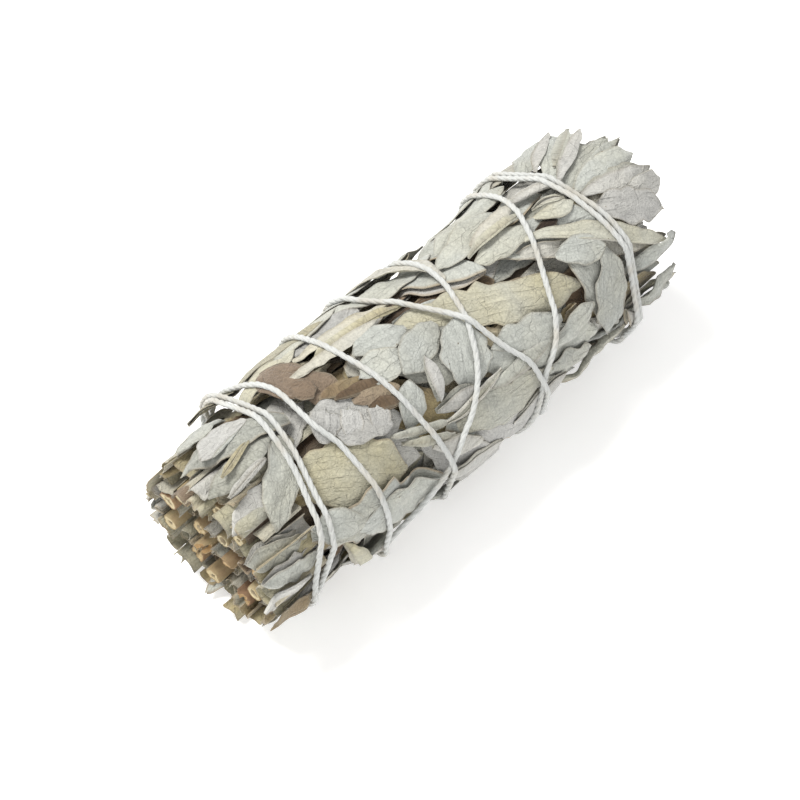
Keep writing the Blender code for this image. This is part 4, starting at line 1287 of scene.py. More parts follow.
def through(points, at):
    """A smooth curve through points of (place, value), with no overshoot between them."""
    place, value = np.array(points, float).T
    place, at = -place, -at
    rise = np.diff(value) / np.diff(place)
    slope = np.zeros(len(place))
    same = rise[:-1] * rise[1:] > 0
    mean = 2 * rise[:-1] * rise[1:] / np.where(same, rise[:-1] + rise[1:], 1)
    slope[1:-1] = np.where(same, mean, 0)
    slope[0], slope[-1] = rise[0], rise[-1]
    i = np.clip(np.searchsorted(place, at, "right") - 1, 0, len(rise) - 1)
    span = place[i + 1] - place[i]
    t = (at - place[i]) / span
    start = value[i] * (1 + 2 * t) * (1 - t) ** 2 + slope[i] * span * t * (1 - t) ** 2
    return start + value[i + 1] * t * t * (3 - 2 * t) + slope[i + 1] * span * t * t * (t - 1)


def pulled_taut(radius):
    """Bridges the hollows of a line round the axis as a taut string does, at a point a degree."""
    for _ in range(60):
        for step in (1, 2, 4, 8, 16, 24):
            before, after = radius[:-2 * step], radius[2 * step:]
            chord = 2 * math.cos(math.radians(step)) * before * after / (before + after)
            radius[step:-step] = np.maximum(radius[step:-step], chord)
    return radius


def string_line(fine):
    """The middle line of the string: its winding angle, its x and its radius."""
    turn = np.arange(ROUTE[0][0], ROUTE[-1][0] - 0.5, -1.0)
    x = through(ROUTE, turn)
    lying = RadiusMap.widened(fine.radius)[fine.cells(x, np.radians(turn))]
    base = lying + STRING_RADIUS - STRING_PRESS
    aslant = turn % 360 - 180
    beneath = np.abs(aslant) < REST_SPREAD
    table = (AXIS[2] - TABLE_TOUCH) / np.cos(np.radians(aslant))
    base = np.where(beneath, table, np.minimum(base, np.where(np.abs(aslant) < 50, table, 99)))
    radius = pulled_taut(base.copy())
    clear = 2 * STRING_RADIUS
    for _ in range(3):
        for i in range(180, len(turn)):
            early = slice(0, i - 180)
            aside = np.radians((turn[i] - turn[early] + 180) % 360 - 180) * LEAF_RADIUS * 1.1
            apart = np.hypot(x[i] - x[early], aside)
            near = apart < clear
            if near.any():
                over = radius[early][near] + np.sqrt(clear ** 2 - apart[near] ** 2)
                radius[i] = max(radius[i], over.max())
        radius = pulled_taut(radius)
    radius = np.where(np.abs(aslant) < 60, np.minimum(radius, table), radius)
    return turn, x, np.where(beneath, table, radius)


string_turn, string_x, string_radius = string_line(fine_map)
string_points = round_axis(string_x, np.radians(string_turn), string_radius)
string_length = np.linalg.norm(np.diff(string_points, axis=0), axis=1).sum()
print("string", round(string_length), "mm long, radius", string_radius.min().round(1), "to",
      string_radius.max().round(1))

# %% [markdown]
# A tight string sinks into the leaves. A map of how deep it presses is made from its line: each
# stretch of string lowers the cells near it to a small valley. Every leaf is then pushed down by
# that depth, and the leaves below it by less and less, so that none cuts through another.

# %% The dents under the string
VALLEY_REACH = 2.2
VALLEY_RISE = 0.30
DENT_DEPTH = 3.2
DEEPEST_PRESS = 1.6


def pressed_depth(fine):
    """How far the string presses the bundle's outside in, over the fine map."""
    ceiling = np.full(fine.radius.shape, 99.0)
    steps = np.arange(0, len(string_turn) - 1, 0.7)
    x = np.interp(steps, np.arange(len(string_x)), string_x)
    turn = np.radians(np.interp(steps, np.arange(len(string_turn)), string_turn))
    radius = np.interp(steps, np.arange(len(string_radius)), string_radius)
    for along in np.arange(-VALLEY_REACH, VALLEY_REACH + 0.01, fine.x_cell):
        for aside in np.arange(-VALLEY_REACH, VALLEY_REACH + 0.01, 0.25):
            apart = along * along + aside * aside
            if apart > VALLEY_REACH ** 2:
                continue
            low = radius - STRING_RADIUS + VALLEY_RISE * apart
            np.minimum.at(ceiling, fine.cells(x + along, turn + aside / LEAF_RADIUS), low)
    depth = np.clip(fine.radius - ceiling, 0, DEEPEST_PRESS)
    for _ in range(2):
        for axis in (0, 1):
            depth = (np.roll(depth, 1, axis) + 2 * depth + np.roll(depth, -1, axis)) / 4
    return depth


def between_cells(grid, fine, x, angle):
    """Reads a map of the bundle between the middles of its cells."""
    i = np.clip((x - MAP_START) / fine.x_cell - 0.5, 0, grid.shape[0] - 1.001)
    j = (np.degrees(angle) % 360) / fine.angle_cell - 0.5
    i0, j0 = np.floor(i).astype(int), np.floor(j).astype(int)
    fi, fj = i - i0, j - j0
    j0, j1 = j0 % grid.shape[1], (j0 + 1) % grid.shape[1]
    near = grid[i0, j0] * (1 - fj) + grid[i0, j1] * fj
    far = grid[i0 + 1, j0] * (1 - fj) + grid[i0 + 1, j1] * fj
    return near * (1 - fi) + far * fi


def dented(points, fine, depth):
    """Points of a leaf pushed in by the string above them."""
    angle = np.arctan2(-points[..., 1], points[..., 2])
    radius = np.hypot(points[..., 1], points[..., 2])
    top = between_cells(fine.radius, fine, points[..., 0], angle)
    push = between_cells(depth, fine, points[..., 0], angle)
    share = np.clip((radius - top + DENT_DEPTH) / DENT_DEPTH, 0, 1.3)
    return round_axis(points[..., 0], angle, np.minimum(radius - push * share, table_reach(angle)))


string_depth = pressed_depth(fine_map)
for grid in leaf_grids:
    grid["points"] = dented(grid["points"], fine_map, string_depth)
print("string presses in up to", string_depth.max().round(2), "mm")

# %% [markdown]
# At its two ends the bundle is seen end on: leaves that were packed side by side have curled
# into scrolls, hooks and folds, cut through at one end and with their own round tips at the
# other. Each is a strip whose section is drawn by how it turns: evenly for a hook, ever tighter
# for a scroll, one way and back for an S, and all at once for a fold. They are thrown one by
# one on the end's round face, clear of the stems and of each other.

# %% Curled leaf ends
END_SEED = 5
THROWS = 2600
CUT_FACE, CUT_APART, CUT_START = 15.4, 1.9, -39.0
TIP_FACE, TIP_APART, TIP_START = 12.6, 1.75, 36.0
SCROLL_TURNS = {
    "hook": (1.6, 3.6), "scroll": (3.6, 6.8), "fold": (2.4, 3.0), "wave": (0.7, 1.6),
    "flat": (0.1, 0.7),
}


def scroll_section(kind, length, rng):
    """A curled section's points, with its middle at the origin."""
    share = np.linspace(0, 1, max(11, round(length / 0.42)))
    total = rng.uniform(*SCROLL_TURNS[kind]) * rng.choice((-1, 1))
    if kind == "scroll":
        turned = total * share ** 1.5
    elif kind == "fold":
        turned = total * soft_step((share - 0.42) / 0.16)
    elif kind == "wave":
        turned = total * np.sin(share * 2 * math.pi)
    else:
        turned = total * share
    turned = turned - turned.mean() + 0.12 * np.sin(share * rng.uniform(6, 14) + rng.uniform(0, 6))
    step = length / (len(share) - 1)
    line = np.stack([np.cumsum(np.cos(turned)), np.cumsum(np.sin(turned))], -1) * step
    return line - (line.min(0) + line.max(0)) / 2


def curled_end(spot, rng, kind, length, start, end, spin, own, tipped):
    """One curled leaf end between two places along the bundle."""
    line = scroll_section(kind, length, rng)
    rows = max(7, round(abs(end - start) / 0.75))
    share = np.linspace(0, 1, rows) ** 0.85
    count = len(line)
    v = np.linspace(-1, 1, count)
    turned = spin + share[:, None] * rng.uniform(-0.35, 0.35)
    swell = 0.8 + 0.2 * share[:, None]
    y = (line[:, 0] * np.cos(turned) - line[:, 1] * np.sin(turned)) * swell
    z = (line[:, 0] * np.sin(turned) + line[:, 1] * np.cos(turned)) * swell
    lean = rng.uniform(-0.5, 0.5) * share[:, None]
    angle = math.atan2(-spot[0], spot[1])
    out = math.hypot(*spot) + lean
    centre = np.stack([-out * math.sin(angle), out * math.cos(angle)], -1)
    ends = np.full(count, float(end))
    way = 1 if end > start else -1
    if tipped:
        ends = ends - way * rng.uniform(1.6, 3.4) * np.abs(v) ** rng.uniform(1.6, 3.0)
        ends = ends + way * 0.25 * np.sin(v * rng.uniform(4, 9))
    else:
        bite = sum(np.sin(v * k + rng.uniform(0, 6)) / k ** 0.7 for k in (2.3, 6.1, 14.3))
        ends = ends + way * rng.uniform(0.1, 0.5) * bite
    x = start + (ends[None, :] - start) * share[:, None]
    points = np.stack([x, centre[..., 0] + y, centre[..., 1] + z], -1)
    half = length / 2
    margin = np.minimum((1 - np.abs(v))[None, :] * half, (1 - share)[:, None] * abs(end - start))
    age = leaf_age(rng)
    if not tipped:
        age = min(age + rng.uniform(0.0, 0.36), 0.95)
    leaf = {"age": age, "tone": rng.random() * 0.8, "margin": rng.random() * 0.8,
            "side": 1.0 if rng.random() < 0.4 else 0.0, "own": own}
    rib = np.repeat(np.abs(v)[None, :] * half, rows, 0)
    uv = np.stack(np.broadcast_arrays(x - start, v[None, :] * half), -1)
    return {"points": points, "margin": margin, "rib": rib, "uv": uv, "leaf": leaf}


def sprig_at(spot):
    """The sprig whose wedge a spot of the end face lies in."""
    angle = math.degrees(math.atan2(-spot[0], spot[1])) % 360
    if math.hypot(*spot) < INNER_RADIUS:
        return OUTER_SPRIGS + int(angle // 90)
    return int(round(angle * OUTER_SPRIGS / 360)) % OUTER_SPRIGS


def thrown(most, apart, rng, stems):
    """Spots on the round end face, clear of the stems and of each other."""
    spots = []
    for _ in range(THROWS):
        out = most * math.sqrt(rng.random())
        angle = rng.uniform(0, 2 * math.pi)
        spot = (-out * math.sin(angle), out * math.cos(angle))
        if any(math.dist(spot, other) < apart for other in spots):
            continue
        room = [9.0] + [math.dist(spot, (y, z)) - radius for y, z, radius in stems]
        if min(room) < 0.5:
            continue
        spots.append(spot)
    return spots


def stem_rounds():
    """The place and radius of each stem on the cut face."""
    rounds = []
    for angle, distance, radius, _ in STEMS:
        _, y, z = round_axis(0.0, math.radians(angle), distance)
        rounds.append((float(y), float(z), radius))
    return rounds


def end_grids():
    """All the curled leaf ends: first those of the cut face, then the tips."""
    rng = random.Random(END_SEED)
    made = []
    stems = stem_rounds()
    for spot in thrown(CUT_FACE, CUT_APART, rng, stems):
        outer = math.hypot(*spot) > 12.0
        room = min([3.0] + [math.dist(spot, (y, z)) - radius for y, z, radius in stems])
        kind = rng.choice(("hook", "hook", "wave", "flat", "fold") if outer else
                          ("hook", "scroll", "fold", "wave", "hook"))
        spin = math.atan2(spot[1], spot[0]) + math.pi / 2 + rng.uniform(-0.5, 0.5)
        if not outer:
            spin = rng.uniform(0, 2 * math.pi)
        length = rng.uniform(3.4, 6.5) if outer else rng.uniform(2.0, 3.2) + room
        end = rng.uniform(-51.6, -47.2) if outer else rng.uniform(-50.4, -46.0)
        own = sprig_at(spot)
        made.append(curled_end(spot, rng, kind, length, CUT_START, end, spin, own, False))
    for spot in thrown(TIP_FACE, TIP_APART, rng, ()):
        outer = math.hypot(*spot) > 8.0
        kind = rng.choice(("hook", "flat", "flat", "wave", "fold") if outer else
                          ("hook", "scroll", "fold", "wave", "flat"))
        spin = math.atan2(spot[1], spot[0]) + math.pi / 2 + rng.uniform(-0.4, 0.4)
        length = rng.uniform(3.5, 6.5)
        end = rng.uniform(47.5, 52.4) - (1.5 if outer else 0.0)
        own = sprig_at(spot)
        made.append(curled_end(spot, rng, kind, length, TIP_START, end, spin, own, True))
    return made


scroll_grids = end_grids()
for grid in scroll_grids:
    grid["points"] = dented(grid["points"], fine_map, string_depth)
print(len(scroll_grids), "curled leaf ends")

# %% [markdown]
# Each leaf is given its thickness here: the grid of points is copied to both sides along its
# own normals, and a narrow rim closes the two. All leaves of a sprig become one mesh, because a
# sprig is one piece of the frame. The numbers that the finish reads go on the mesh's points.

# %% From grids to sprigs
ATTRIBUTES = ("age", "tone", "edge", "rib", "side", "rim", "margin")
CORE_THICKNESS = 1.3
OUTER_CORES, INNER_CORES = (12.4, 9.0), (5.6, 2.6)


def grid_quads(rows, columns):
    """The faces of a grid of points."""
    i, j = np.meshgrid(np.arange(rows - 1), np.arange(columns - 1), indexing="ij")
    a = (i * columns + j).ravel()
    return np.stack([a, a + 1, a + columns + 1, a + columns], -1)


def rim_line(rows, columns):
    """The points round a grid's edge, in order."""
    top = np.arange(columns)
    right = np.arange(1, rows) * columns + columns - 1
    bottom = (rows - 1) * columns + np.arange(columns - 2, -1, -1)
    left = np.arange(rows - 2, 0, -1) * columns
    return np.concatenate([top, right, bottom, left])


def shell(grid, thickness=LEAF_THICKNESS):
    """A closed leaf from a grid of points: its points, its quads and its numbers."""
    points = grid["points"]
    rows, columns = points.shape[:2]
    normal = grid_normals(points)
    thin = np.clip(grid["margin"] / 0.5, 0.62, 1)[..., None] * thickness / 2
    upper = (points + normal * thin).reshape(-1, 3)
    lower = (points - normal * thin).reshape(-1, 3)
    count = rows * columns
    quads = grid_quads(rows, columns)
    rim = rim_line(rows, columns)
    after = np.roll(rim, -1)
    wall = np.stack([rim, rim + count, after + count, after], -1)
    faces = np.concatenate([quads, quads[:, ::-1] + count, wall])
    leaf = grid["leaf"]
    both = np.ones(2 * count)
    seen_side = np.repeat([leaf["side"], 1 - leaf["side"]], count)
    on_rim = np.zeros(count)
    on_rim[rim] = 1
    numbers = {
        "age": both * leaf["age"], "tone": both * leaf["tone"], "margin": both * leaf["margin"],
        "edge": np.tile(grid["margin"].ravel(), 2), "rib": np.tile(grid["rib"].ravel(), 2),
        "side": seen_side, "rim": np.tile(on_rim, 2),
    }
    away = np.array([leaf["tone"] * 3.1, leaf["age"] * 2.3 + leaf["tone"]])
    uv = np.tile(grid["uv"].reshape(-1, 2) * MM + away, (2, 1))
    return np.concatenate([upper, lower]), faces, numbers, uv


def packed_core_in_painted_shade(middle, spread, radius, own):
    """The tightly packed leaves inside a sprig, which stop the eye between the outer ones, coloured old
    and dark as painted shade of the deep gaps.
    """
    x = np.linspace(CORE_START + 1, CORE_END + 1, 12)[:, None]
    turn = np.linspace(-0.5, 0.5, 7)[None, :] * spread + middle
    points = round_axis(x, turn, radius + 0 * turn)
    # painted shade: an old brown age and a dark tone make the core read as the deep shadow between the
    # outer leaves
    leaf = {"age": 0.9, "tone": 0.1, "margin": 0.0, "side": 0.0, "own": own}
    flat = np.stack(np.broadcast_arrays(x, turn * radius), -1)
    inside = np.full(points.shape[:2], 9.0)
    return {"points": points, "margin": inside, "rib": inside, "uv": flat, "leaf": leaf}


def world(points):
    """Points round the bundle's axis, in millimetres, as places in the scene."""
    return (points + AXIS) * MM


def leaf_mesh(name, shells):
    """One mesh from many closed leaves."""
    starts = np.cumsum([0] + [len(item[0]) for item in shells[:-1]])
    points = np.concatenate([item[0] for item in shells])
    faces = np.concatenate([item[1] + start for item, start in zip(shells, starts)])
    mesh = bpy.data.meshes.new(name)
    mesh.vertices.add(len(points))
    mesh.vertices.foreach_set("co", world(points).astype(np.float32).ravel())
    mesh.loops.add(faces.size)
    mesh.loops.foreach_set("vertex_index", faces.astype(np.int32).ravel())
    mesh.polygons.add(len(faces))
    mesh.polygons.foreach_set("loop_start", np.arange(0, faces.size, 4, dtype=np.int32))
    mesh.update(calc_edges=True)
    for key in ATTRIBUTES:
        values = np.concatenate([item[2][key] for item in shells]).astype(np.float32)
        mesh.attributes.new(key, "FLOAT", "POINT").data.foreach_set("value", values)
    uv = np.concatenate([item[3] for item in shells])[faces.ravel()].astype(np.float32)
    mesh.uv_layers.new(name="leaf").data.foreach_set("uv", uv.ravel())
    mesh.validate()
    mesh.shade_smooth()
    mesh.set_sharp_from_angle(angle=math.radians(55))
    return mesh


def add_piece(name, mesh, material, node):
    """Puts a piece of the scene in the place of a node of the frame."""
    if not mesh.materials:
        mesh.materials.append(material)
    piece = bpy.data.objects.new(name, mesh)
    bpy.context.scene.collection.objects.link(piece)
    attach(piece, "root")
    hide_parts(node)


sprig_shells = {number: [] for number in range(OUTER_SPRIGS + INNER_SPRIGS)}
for grid in leaf_grids + scroll_grids:
    sprig_shells[grid["leaf"]["own"]].append(shell(grid))
for sprig in range(OUTER_SPRIGS):
    middle = math.radians(sprig * 360 / OUTER_SPRIGS)
    for radius in OUTER_CORES:
        core = packed_core_in_painted_shade(middle, 2 * math.pi / OUTER_SPRIGS, radius, sprig)
        sprig_shells[sprig].append(shell(core, CORE_THICKNESS))
for sprig in range(INNER_SPRIGS):
    middle = math.radians(sprig * 90 + 45)
    for radius in INNER_CORES:
        core = packed_core_in_painted_shade(middle, math.pi / 2, radius, OUTER_SPRIGS + sprig)
        sprig_shells[OUTER_SPRIGS + sprig].append(shell(core, CORE_THICKNESS))
total = 0
for number, shells in sprig_shells.items():
    name = f"sprig_{number + 1:02d}"
    mesh = leaf_mesh(name + "_leaves", shells)
    add_piece(name + "_leaves", mesh, leaf_paint, name)
    total += 2 * len(mesh.polygons)
print("leaves have", total, "triangles")

# %% [markdown]
# The stems are woody twigs: a thin ridged bark, a ring of pale wood and a core of pith that is
# darker and crumbly. One material does all three. Each point of the mesh says its zone, from 0
# for bark over 1 for wood to 2 for pith, and the material changes where the zone does.

# %% Stem material


def stem_material():
    paint = Paint("sage_stem")
    spot = paint.node("ShaderNodeTexCoord", out="Object")
    zone = paint.attribute("zone")
    tone = paint.attribute("tone")
    age = paint.attribute("age")
    drawn_out = paint.vector("MULTIPLY", spot, (0.12, 1.0, 1.0))
    fibres = paint.noise(drawn_out, 2600.0, 4.0, 0.65)
    grain = paint.noise(spot, 3000.0, 3.0, 0.6)
    mottle = paint.noise(spot, 700.0, 3.0, 0.6)
    bark = paint.ramp(age + (mottle - 0.5) * 0.5, (
        (0.0, screen(190, 182, 152)), (0.4, screen(168, 150, 116)), (0.75, screen(142, 114, 90)),
        (1.0, screen(90, 68, 52)),
    ))
    wood = paint.ramp(tone + (grain - 0.5) * 0.6, (
        (0.0, screen(178, 146, 104)), (0.5, screen(200, 184, 146)), (1.0, screen(212, 202, 172)),
    ))
    pith = paint.ramp(mottle, ((0.0, screen(92, 70, 48)), (1.0, screen(222, 208, 180))))
    colour = paint.blend(zone.between(0.25, 0.75), bark, wood)
    colour = paint.blend(zone.between(1.25, 1.75), colour, pith)
    light = 0.72 + fibres * 0.34 + (grain - 0.5) * 0.22
    colour = paint.shaded(colour, light)
    normal = paint.bump(fibres * 0.8 + grain * 0.4 + mottle * 0.3, 0.6, 0.0003)
    return paint.finish(Base_Color=colour, Roughness=0.82, Normal=normal, Specular_IOR_Level=0.3)


stem_paint = stem_material()
print("stem material ready")

# %% [markdown]
# The cut face of each stem has its own look: its pith has dried to a pinhole, a slit or a hollow,
# and some stems broke instead of being cut, with a stepped, splintered face. A stem is turned
# from a profile, as on a lathe, and then its ridges, its uneven ring and its splinters are added
# as sums of waves round the turn.

# %% Stems
STEM_SEED = 3
STEM_END = 15.0
PITH_DEPTH = 1.6
STEM_TURNS = 30
STEM_RINGS = (0.6, 1.2, 2.0, 3.0, 4.2, 5.6, 7.5, 10)
STEM_LOOKS = (
    # pith across, pith's shape, break depth, bark age, wood tone
    (0.30, 1.0, 0.15, 0.55, 0.6),
    (0.24, 1.0, 0.10, 0.30, 0.7),
    (0.30, 2.4, 0.50, 0.60, 0.2),
    (0.50, 1.0, 0.10, 0.35, 0.7),
    (0.26, 2.0, 0.90, 0.80, 0.1),
    (0.30, 1.0, 0.20, 0.50, 0.5),
    (0.26, 1.8, 0.70, 0.65, 0.3),
    (0.30, 1.0, 0.10, 0.40, 0.6),
    (0.34, 2.6, 0.20, 0.70, 0.7),
    (0.22, 1.0, 0.15, 0.35, 0.8),
    (0.28, 1.0, 1.10, 0.45, 0.0),
    (0.36, 1.6, 0.25, 0.50, 0.4),
    (0.52, 1.0, 0.15, 0.30, 0.9),
    (0.26, 1.0, 0.60, 0.60, 0.2),
)


def waves(angle, counts, rng):
    """A sum of waves round a turn, which closes on itself."""
    return sum(np.sin(angle * k + rng.uniform(0, 6.3)) / k ** 0.5 for k in counts)


def stem_mesh(name, place, look, rng):
    """One stem from its cut face to deep inside the bundle."""
    angle, distance, radius, cut_end = place
    pith, pith_shape, broken, bark_age, wood_tone = look
    profile = [
        # share of the radius, place along X, zone: 0 bark, 1 wood, 2 pith
        (0.0, cut_end + PITH_DEPTH, 2), (pith * 0.8, cut_end + PITH_DEPTH, 2), (pith, cut_end + 0.35, 2),
        (pith + 0.05, cut_end + 0.05, 1), (0.55, cut_end + 0.16, 1), (0.72, cut_end + 0.04, 1),
        (0.83, cut_end + 0.12, 1), (0.90, cut_end - 0.02, 0), (0.965, cut_end + 0.04, 0),
        (1.0, cut_end + 0.3, 0),
    ]
    for step in STEM_RINGS:
        profile.append((1.0 + 0.02 * rng.uniform(-1, 1), cut_end + 0.3 + step, 0))
    profile += [(0.62, STEM_END, 0), (0.0, STEM_END, 0)]
    around = np.linspace(0, 2 * math.pi, STEM_TURNS, endpoint=False)
    ridges = 0.035 * waves(around, (2, 3, 7, 11), rng)
    splinter = waves(around, (1, 2, 5, 9), rng) * 0.5
    middle = round_axis(0.0, math.radians(angle), distance)
    slit_turn = rng.uniform(0, 3.1)
    points, zones = [], []
    for out, along, zone in profile:
        ring = out * radius * (1 + ridges * min(out * 1.3, 1))
        y, z = ring * np.cos(around), ring * np.sin(around)
        if out <= pith + 0.06 and out > 0:
            aside = np.cos(around - slit_turn)
            stretch = 1 + (pith_shape - 1) * 0.45 * aside * aside - (pith_shape - 1) * 0.22
            y, z = y * stretch, z * stretch
        near_face = np.clip(1 - (along - cut_end - 0.3) / 1.2, 0, 1) if along < STEM_END else 0
        x = along + broken * splinter * near_face + 0.05 * waves(around, (6, 13), rng) * near_face
        points.append(np.stack(np.broadcast_arrays(x, middle[1] + y, middle[2] + z), -1))
        zones += [zone] * STEM_TURNS
    faces = []
    for ring in range(0, (len(profile) - 1) * STEM_TURNS, STEM_TURNS):
        for j in range(STEM_TURNS):
            k = (j + 1) % STEM_TURNS
            faces.append((ring + j, ring + k, ring + STEM_TURNS + k, ring + STEM_TURNS + j))
    mesh = bpy.data.meshes.new(name)
    mesh.from_pydata(world(np.array(points).reshape(-1, 3)).tolist(), [], faces)
    every = len(zones)
    numbers = {"zone": zones, "tone": [wood_tone] * every, "age": [bark_age] * every}
    for key, values in numbers.items():
        mesh.attributes.new(key, "FLOAT", "POINT").data.foreach_set("value", values)
    build = bmesh.new()
    build.from_mesh(mesh)
    bmesh.ops.remove_doubles(build, verts=build.verts, dist=0.000005)
    bmesh.ops.recalc_face_normals(build, faces=build.faces)
    build.to_mesh(mesh)
    build.free()
    mesh.shade_smooth()
    mesh.set_sharp_from_angle(angle=math.radians(45))
    return mesh


stem_rng = random.Random(STEM_SEED)
for number, (place, look) in enumerate(zip(STEMS, STEM_LOOKS), 1):
    name = f"stem_{number:02d}"
    twig = stem_mesh(name, place, look, stem_rng)
    add_piece(name + "_twig", twig, stem_paint, name)
print(len(STEMS), "stems")

# %% [markdown]
# The string is soft undyed cotton, matt and nearly white, a little soiled here and there. Its
# fine streaks run along each ply. The mesh stores how far along and how far round the ply each
# point is, and a noise stretched over those two gives the streaks.

# %% Cotton material


def cotton_material():
    paint = Paint("cotton_string")
    along = paint.attribute("along")
    around = paint.attribute("around")
    streak = {"X": around * 9.0 + along * 900.0, "Y": along * 180.0}
    lay = paint.node("ShaderNodeCombineXYZ", None, streak)
    fibres = paint.noise(lay, 3.0, 4.0, 0.7)
    spot = paint.node("ShaderNodeTexCoord", out="Object")
    fuzz = paint.noise(spot, 5200.0, 3.0, 0.7)
    soil = paint.noise(spot, 160.0, 3.0, 0.5)
    colour = paint.blend(soil.between(0.45, 0.7), screen(200, 202, 200), screen(191, 188, 179))
    light = 0.86 + fibres * 0.18 + (fuzz - 0.5) * 0.10
    colour = paint.shaded(colour, light)
    normal = paint.bump(fibres * 0.8 + fuzz * 0.5, 0.7, 0.00016)
    return paint.finish(Base_Color=colour, Roughness=0.95, Normal=normal, Sheen_Weight=0.35,
                        Sheen_Roughness=0.6, Specular_IOR_Level=0.2)


cotton_paint = cotton_material()
print("cotton ready")

# %% [markdown]
# The string is three plies twisted together, with loose fibres that stand off it. It follows one
# long path, which is what Geometry Nodes are good at. The tree reads the string's line as a
# curve, moves a copy of it aside along a normal that turns with the length, once for each ply,
# and sweeps a round section along each. Loose fibres are small bent hairs thrown on the plies'
# surface. The hairs are instances until the end, where they are made real.

# %% The string's Geometry Nodes
PLIES = 3


class Tree(Network):
    """A tree of Geometry Nodes with named inputs."""

    def __init__(self, name, inputs):
        self.tree = bpy.data.node_groups.new(name, "GeometryNodeTree")
        self.tree.interface.new_socket("Geometry", in_out="INPUT", socket_type="NodeSocketGeometry")
        self.sockets = {}
        for key, (kind, value) in inputs.items():
            made = self.tree.interface.new_socket(key, in_out="INPUT", socket_type=kind)
            if value is not None:
                made.default_value = value
            self.sockets[key] = made.identifier
        self.tree.interface.new_socket("Geometry", in_out="OUTPUT", socket_type="NodeSocketGeometry")
        self.start = self.tree.nodes.new("NodeGroupInput")
        self.end = self.tree.nodes.new("NodeGroupOutput")

    def input(self, name):
        return Wire(self, self.start.outputs[name])

    def finish(self, geometry):
        self.tree.links.new(geometry.socket, self.end.inputs["Geometry"])
        return self.tree


def string_tree():
    """The tree that makes the string's mesh, and its inputs' identifiers."""
    inputs = {
        "Ply radius": ("NodeSocketFloat", 0.00034), "Ply offset": ("NodeSocketFloat", 0.00019),
        "Twist length": ("NodeSocketFloat", 0.0052), "Step": ("NodeSocketFloat", 0.00052),
        "Fibres": ("NodeSocketFloat", 420000.0), "Fibre radius": ("NodeSocketFloat", 0.000009),
        "Seed": ("NodeSocketInt", 4), "Material": ("NodeSocketMaterial", None),
    }
    tree = Tree("plied_string", inputs)
    curve = tree.node("GeometryNodeResampleCurve", {"mode": "LENGTH"},
                      {"Curve": tree.input("Geometry"), "Length": tree.input("Step")})
    length = tree.node("GeometryNodeSplineParameter", out="Length")
    curve = tree.node("GeometryNodeStoreNamedAttribute", {"data_type": "FLOAT", "domain": "POINT"},
                      {"Geometry": curve, "Name": "along", "Value": length})
    circle = tree.node("GeometryNodeCurvePrimitiveCircle", {"mode": "RADIUS"},
                       {"Resolution": 7, "Radius": tree.input("Ply radius")})
    factor = tree.node("GeometryNodeSplineParameter", out="Factor")
    circle = tree.node("GeometryNodeStoreNamedAttribute", {"data_type": "FLOAT", "domain": "POINT"},
                       {"Geometry": circle, "Name": "around", "Value": factor})
    normal = tree.node("GeometryNodeInputNormal")
    tangent = tree.node("GeometryNodeInputTangent")
    plies = []
    for ply in range(PLIES):
        angle = length / tree.input("Twist length") * (2 * math.pi) + ply * 2 * math.pi / PLIES
        aside = tree.node("ShaderNodeVectorRotate", {"rotation_type": "AXIS_ANGLE"},
                          {"Vector": normal, "Axis": tangent, "Angle": angle})
        offset = tree.node("ShaderNodeVectorMath", {"operation": "SCALE"},
                           {0: aside, "Scale": tree.input("Ply offset")})
        moved = tree.node("GeometryNodeSetPosition", None, {"Geometry": curve, "Offset": offset})
        plies.append(tree.node("GeometryNodeCurveToMesh", None,
                               {"Curve": moved, "Profile Curve": circle, "Fill Caps": True}))
    strand = tree.node("GeometryNodeJoinGeometry", None, {"Geometry": plies})
    strand = tree.node("GeometryNodeSetShadeSmooth", None, {"Geometry": strand, "Shade Smooth": True})

    bend = tree.node("GeometryNodeCurveQuadraticBezier", None,
                     {"Resolution": 4, "Start": (0.0, 0.0, -0.00005), "Middle": (0.00012, 0.0, 0.00028),
                      "End": (0.00052, 0.00008, 0.00036)})
    thin = tree.node("GeometryNodeCurvePrimitiveCircle", {"mode": "RADIUS"},
                     {"Resolution": 3, "Radius": tree.input("Fibre radius")})
    hair = tree.node("GeometryNodeCurveToMesh", None,
                     {"Curve": bend, "Profile Curve": thin, "Fill Caps": True})
    scatter = tree.node("GeometryNodeDistributePointsOnFaces", None,
                        {"Mesh": strand, "Density": tree.input("Fibres"), "Seed": tree.input("Seed")})
    facing = Wire(tree, scatter.socket.node.outputs["Rotation"])
    swing = tree.node("FunctionNodeRandomValue", {"data_type": "FLOAT_VECTOR"},
                      {0: (-0.5, -0.5, 0.0), 1: (0.5, 0.5, 6.28), "Seed": tree.input("Seed")})
    turned = tree.node("FunctionNodeRotateRotation", {"rotation_space": "LOCAL"},
                       {"Rotation": facing, "Rotate By": swing})
    size = tree.node("FunctionNodeRandomValue", {"data_type": "FLOAT"},
                     {2: 0.5, 3: 1.7, "Seed": tree.input("Seed")}, 1)
    hairs = tree.node("GeometryNodeInstanceOnPoints", None,
                      {"Points": scatter, "Instance": hair, "Rotation": turned, "Scale": size})
    whole = tree.node("GeometryNodeJoinGeometry", None, {"Geometry": [strand, hairs]})
    whole = tree.node("GeometryNodeRealizeInstances", None, {"Geometry": whole})
    whole = tree.node("GeometryNodeSetMaterial", None,
                      {"Geometry": whole, "Material": tree.input("Material")})
    return tree.finish(whole), tree.sockets


string_group, string_sockets = string_tree()
print("the string's tree has", len(string_group.nodes), "nodes")

# %% [markdown]
# The two ends of the string meet in an overhand knot at the back, near the cut end, which the
# photograph doesn't show, and two short free ends leave it. The long line, the knot and the
# ends go into one curve, on which the tree above is run once. The mesh that it makes is kept,
# without the modifier, and pressed flat where the bundle lies on its string.

# %% The string
KNOT_ROUND = 0.52
TAILS = ((-1, 6.5), (1, 8.0))


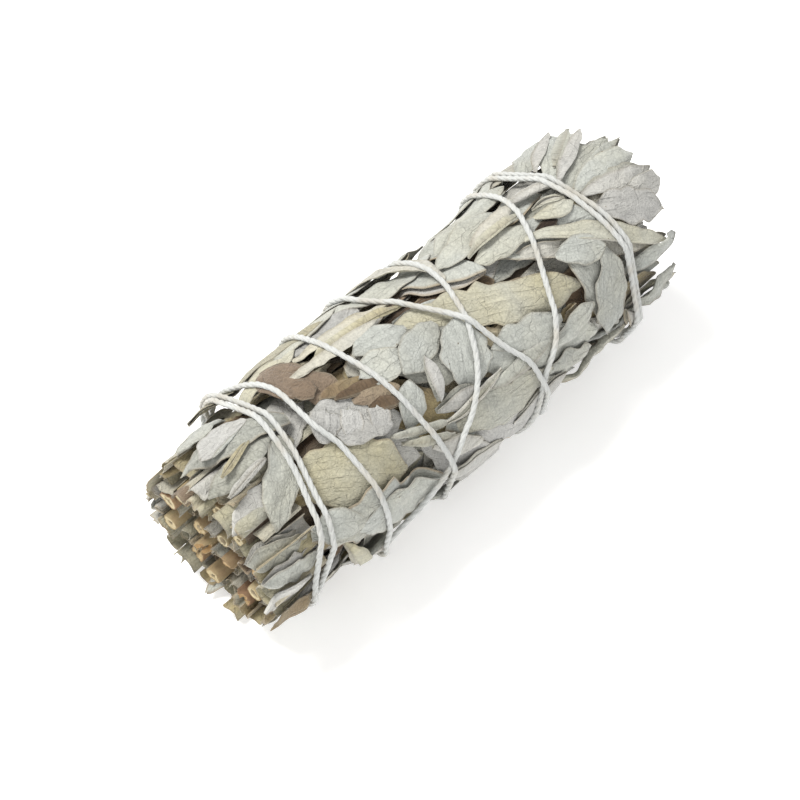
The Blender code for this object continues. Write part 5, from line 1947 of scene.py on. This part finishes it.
def knot_line(radius):
    """A small overhand knot, drawn as a trefoil that lies on the bundle."""
    t = np.linspace(0, 2 * math.pi, 40)
    flat = np.stack([np.sin(t) + 2 * np.sin(2 * t), np.cos(t) - 2 * np.cos(2 * t), -np.sin(3 * t)], -1)
    angle = math.radians(KNOT_ANGLE)
    middle = round_axis(KNOT_X, angle, radius)
    out = round_axis(0.0, angle, 1.0)
    along = np.array([1.0, 0.0, 0.0])
    side = np.cross(out, along)
    return middle + KNOT_ROUND * (flat[:, :1] * along + flat[:, 1:2] * side + flat[:, 2:] * out)


def tail_line(fine, side, reach, start_radius):
    """A short free end of the string, from the knot down onto the leaves."""
    along = np.linspace(0.0, 1, 14)
    angles = np.radians(KNOT_ANGLE) + side * along * reach / start_radius
    xs = KNOT_X + side * 1.2 * along + 1.6 * along ** 2
    lying = RadiusMap.widened(fine.radius)[fine.cells(xs, angles)] + STRING_RADIUS
    radius = np.maximum(lying, start_radius + 1.2 - 1.4 * along)
    radius[0] = start_radius + 0.3
    return round_axis(xs, angles, np.minimum(radius, table_reach(angles)))


def curve_of(name, lines):
    """One curve object with a straight-sided spline through each line's points."""
    data = bpy.data.curves.new(name, "CURVE")
    data.dimensions = "3D"
    for line in lines:
        spline = data.splines.new("POLY")
        spline.points.add(len(line) - 1)
        for point, place in zip(spline.points, world(np.array(line))):
            point.co = (*place, 1.0)
    item = bpy.data.objects.new(name, data)
    bpy.context.scene.collection.objects.link(item)
    return item


knot_radius = float((string_radius[0] + string_radius[-1]) / 2)
lines = [string_points, knot_line(knot_radius)]
lines += [tail_line(fine_map, side, reach, knot_radius) for side, reach in TAILS]
string_curve = curve_of("string_line", lines)
sweep = string_curve.modifiers.new("twisted plies", "NODES")
sweep.node_group = string_group
sweep[string_sockets["Material"]] = cotton_paint
bpy.context.view_layer.update()
graph = bpy.context.evaluated_depsgraph_get()
string_mesh = bpy.data.meshes.new_from_object(string_curve.evaluated_get(graph))
bpy.data.objects.remove(string_curve, do_unlink=True)
corners = np.empty(len(string_mesh.vertices) * 3, np.float32)
string_mesh.vertices.foreach_get("co", corners)
corners[2::3] = np.maximum(corners[2::3], 0.0)
string_mesh.vertices.foreach_set("co", corners)
add_piece("cotton_string", string_mesh, cotton_paint, "binding_string")
print("string has", sum(len(face.vertices) - 2 for face in string_mesh.polygons), "triangles")
